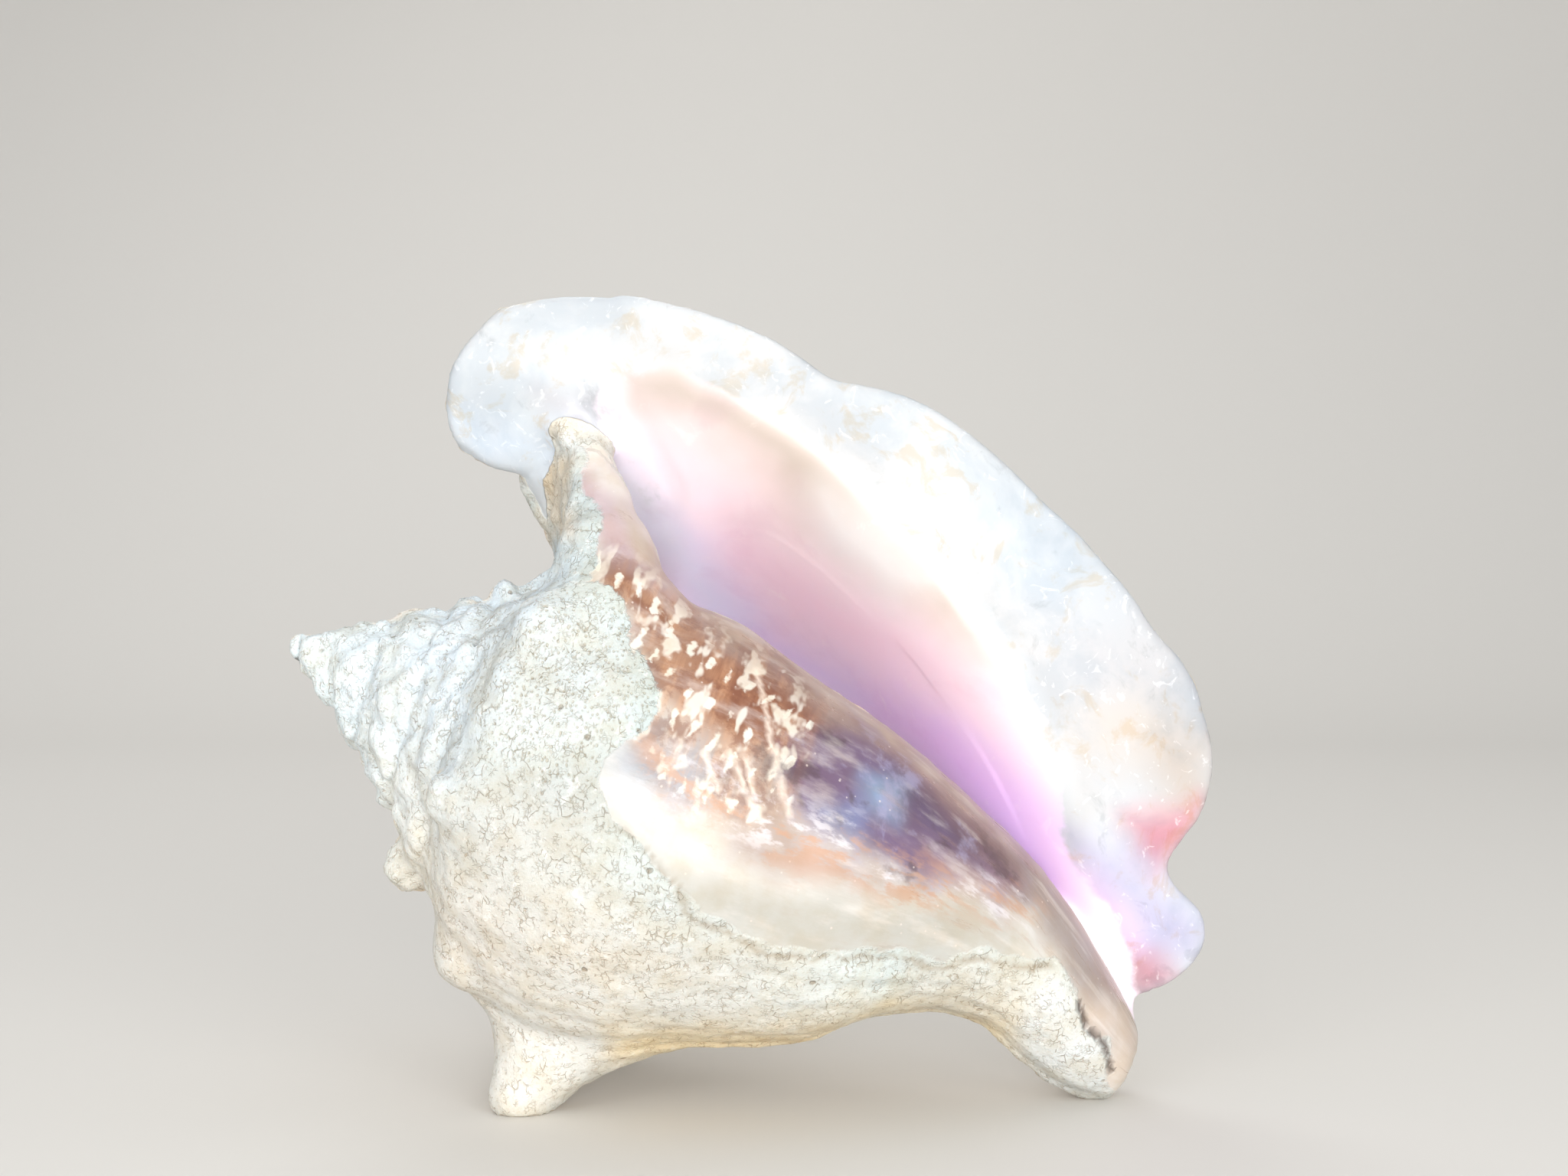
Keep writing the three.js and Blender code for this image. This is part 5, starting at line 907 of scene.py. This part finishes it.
skin = mix(m_callus, skin, glaze)
skin = mix(calc("MULTIPLY", mask("m_seam"), 0.45), skin, "#B99A74", "MULTIPLY")
skin = mix(calc("MULTIPLY", mask("m_crack"), 0.80), skin, "#4A372C")

# enamel and the pearly lip, with a torn-looking border between them; the pearly sheen is painted into the colour as
# pale, cool streaks
pearly_sheen = grain(shifted(where, 22.0, 0.030), 42.0, 5.0, 0.60)
wisp = grain(shifted(where, 35.0, 0.022), 95.0, 5.0, 0.66, 0.4)
lip_m = step(calc("ADD", mask("m_lip"), calc("MULTIPLY", calc("SUBTRACT", grain(shifted(where, 50.0, 0.012), 70.0, 5.0, 0.6), 0.5), 1.1)), 0.34, 0.66)
enamel = mix(calc("MULTIPLY", step(pearly_sheen, 0.46, 0.30), 0.20), tint("enamel"), "#E6D2E0", "MULTIPLY")
enamel = mix(calc("MULTIPLY", step(wisp, 0.60, 0.74), 0.22), enamel, "#FBF3EE")
rim = tint("rim")
rim = mix(calc("MULTIPLY", step(pearly_sheen, 0.55, 0.36), 0.75), rim, "#E3E9EF", "MULTIPLY")
rim = mix(calc("MULTIPLY", step(wisp, 0.54, 0.66), 0.65), rim, "#F8E6CC", "MULTIPLY")
rim = mix(calc("MULTIPLY", step(wisp, 0.42, 0.30), 0.60), rim, "#DEDEDF", "MULTIPLY")
# fine white streaks on the lip: painted pearly glints
sheen_streaks = grain(stretched(shifted(where, 60.0, 0.008), 1.0, 1.0, 1.0), 260.0, 3.0, 0.6, 1.2)
rim = mix(calc("MULTIPLY", step(sheen_streaks, 0.60, 0.70), 0.25), rim, "#FFFFFF")
inside = mix(lip_m, enamel, rim)
colour = mix(m_inner, skin, inside)

rough_chalk = blendf(powder, 0.95, 0.70)
rough_callus = blendf(step(veil, 0.3, 0.7), 0.26, 0.46)
rough_in = blendf(lip_m, 0.3, 0.42)
rough_in = calc("ADD", rough_in, calc("MULTIPLY", calc("SUBTRACT", pearly_sheen, 0.5), 0.10))
roughness = blendf(m_inner, blendf(m_callus, rough_chalk, rough_callus), rough_in)

height = calc("MULTIPLY", powder, 0.45)
height = calc("ADD", height, calc("MULTIPLY", grain(where, 300.0, 5.0, 0.65), 1.1))
height = calc("SUBTRACT", height, calc("MULTIPLY", hairs, 0.55))
height = calc("SUBTRACT", height, calc("MULTIPLY", pit, 0.45))
height = calc("ADD", height, calc("MULTIPLY", calc("MULTIPLY", mask("m_worn"), grain(where, 420.0, 4.0, 0.65)), 1.2))
height = calc("MULTIPLY", height, m_chalk)
smooth_h = calc("ADD", calc("MULTIPLY", veil, calc("MULTIPLY", m_callus, 0.35)), calc("MULTIPLY", wisp, calc("MULTIPLY", m_inner, 0.1)))
height = calc("ADD", height, smooth_h)
height = calc("SUBTRACT", height, calc("MULTIPLY", mask("m_crack"), 2.5))
height = calc("SUBTRACT", height, calc("MULTIPLY", calc("MULTIPLY", big, m_chalk), 1.2))
bump = node("ShaderNodeBump"); put(bump.inputs["Strength"], 0.8); put(bump.inputs["Distance"], 0.0005); put(bump.inputs["Height"], height)

shade = node("ShaderNodeBsdfPrincipled")
put(shade.inputs["Base Color"], colour); put(shade.inputs["Roughness"], roughness); put(shade.inputs["Normal"], bump.outputs[0])
shade.inputs["IOR"].default_value = 1.53
shade.inputs["Subsurface Weight"].default_value = 0.12
shade.inputs["Subsurface Radius"].default_value = (1.0, 0.55, 0.45)
shade.inputs["Subsurface Scale"].default_value = 0.004
out = node("ShaderNodeOutputMaterial"); nt.links.new(shade.outputs[0], out.inputs["Surface"])
mesh.materials.append(mat)

# ------------------------------------------------------------------ the set
def plain(name, colour, rough):
    m = bpy.data.materials.new(name); m.use_nodes = True; b = m.node_tree.nodes["Principled BSDF"]
    b.inputs["Base Color"].default_value = (*lin(colour), 1); b.inputs["Roughness"].default_value = rough
    b.inputs["Specular IOR Level"].default_value = 0.25
    return m


prof = [(-1.6, 0.0)] + [(x, 0.0) for x in (-0.8, 0.0, 0.5)] + [(0.9 + 0.7*math.sin(t), 0.7 - 0.7*math.cos(t)) for t in np.linspace(0, math.pi/2, 14)] + [(1.6, 2.4)]
fv, ff = [], []
for i, (yy, zz) in enumerate(prof):
    fv += [(-2.6, yy, zz), (2.6, yy, zz)]
    if i:
        j = 2 * i; ff.append((j - 2, j - 1, j + 1, j))
fm = bpy.data.meshes.new("floor"); fm.from_pydata(fv, [], ff); fm.update()
fm.polygons.foreach_set("use_smooth", np.ones(len(fm.polygons), bool))
floor = bpy.data.objects.new("floor", fm); bpy.context.scene.collection.objects.link(floor)
fm.materials.append(plain("floor", "#D9D6D1", 0.6))
floor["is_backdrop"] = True

world = bpy.data.worlds.new("world"); bpy.context.scene.world = world; world.use_nodes = True
bg = world.node_tree.nodes["Background"]; bg.inputs[0].default_value = (*(0.97, 0.985, 1.0), 1); bg.inputs[1].default_value = 0.62


def lamp(name, at, to, sx, sy, power, colour=(1, 1, 1)):
    d = bpy.data.lights.new(name, "AREA"); d.shape = "RECTANGLE"; d.size = sx; d.size_y = sy; d.energy = power; d.color = colour
    o = bpy.data.objects.new(name, d); bpy.context.scene.collection.objects.link(o)
    from mathutils import Vector
    o.location = at; o.rotation_euler = (Vector(to) - Vector(at)).to_track_quat("-Z", "Y").to_euler()
    return o


lamp("front", (0.06, -1.25, 0.24), (0.01, 0.0, 0.11), 0.46, 0.36, 11.0, (1.0, 1.0, 1.0))
lamp("key", (-0.55, -1.05, 0.55), (0.0, 0.0, 0.10), 0.80, 0.70, 3.6, (1.0, 0.995, 0.98))
lamp("fill", (0.62, -1.05, 0.40), (0.02, 0.0, 0.10), 0.60, 0.60, 6.0, (0.98, 0.99, 1.0))
lamp("top", (0.05, 0.10, 1.10), (0.0, 0.0, 0.10), 0.80, 0.60, 1.0)
lamp("behind", (-0.30, 1.00, 1.30), (0.0, 0.05, 0.10), 1.00, 0.80, 5.0)

cam = bpy.data.cameras.new("camera"); cam.sensor_width = 36.0; cam.lens = 45.70
eye = bpy.data.objects.new("camera", cam); bpy.context.scene.collection.objects.link(eye)
eye.location = (0.00673, -0.47912, 0.125); eye.rotation_euler = (math.radians(90 - 0.68), 0, 0)
bpy.context.scene.camera = eye
bpy.context.scene.view_settings.view_transform = "Standard"
bpy.context.scene.view_settings.look = "None"
bpy.context.scene.view_settings.exposure = 0.0

size["final"] = [[float(c) for c in v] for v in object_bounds()]
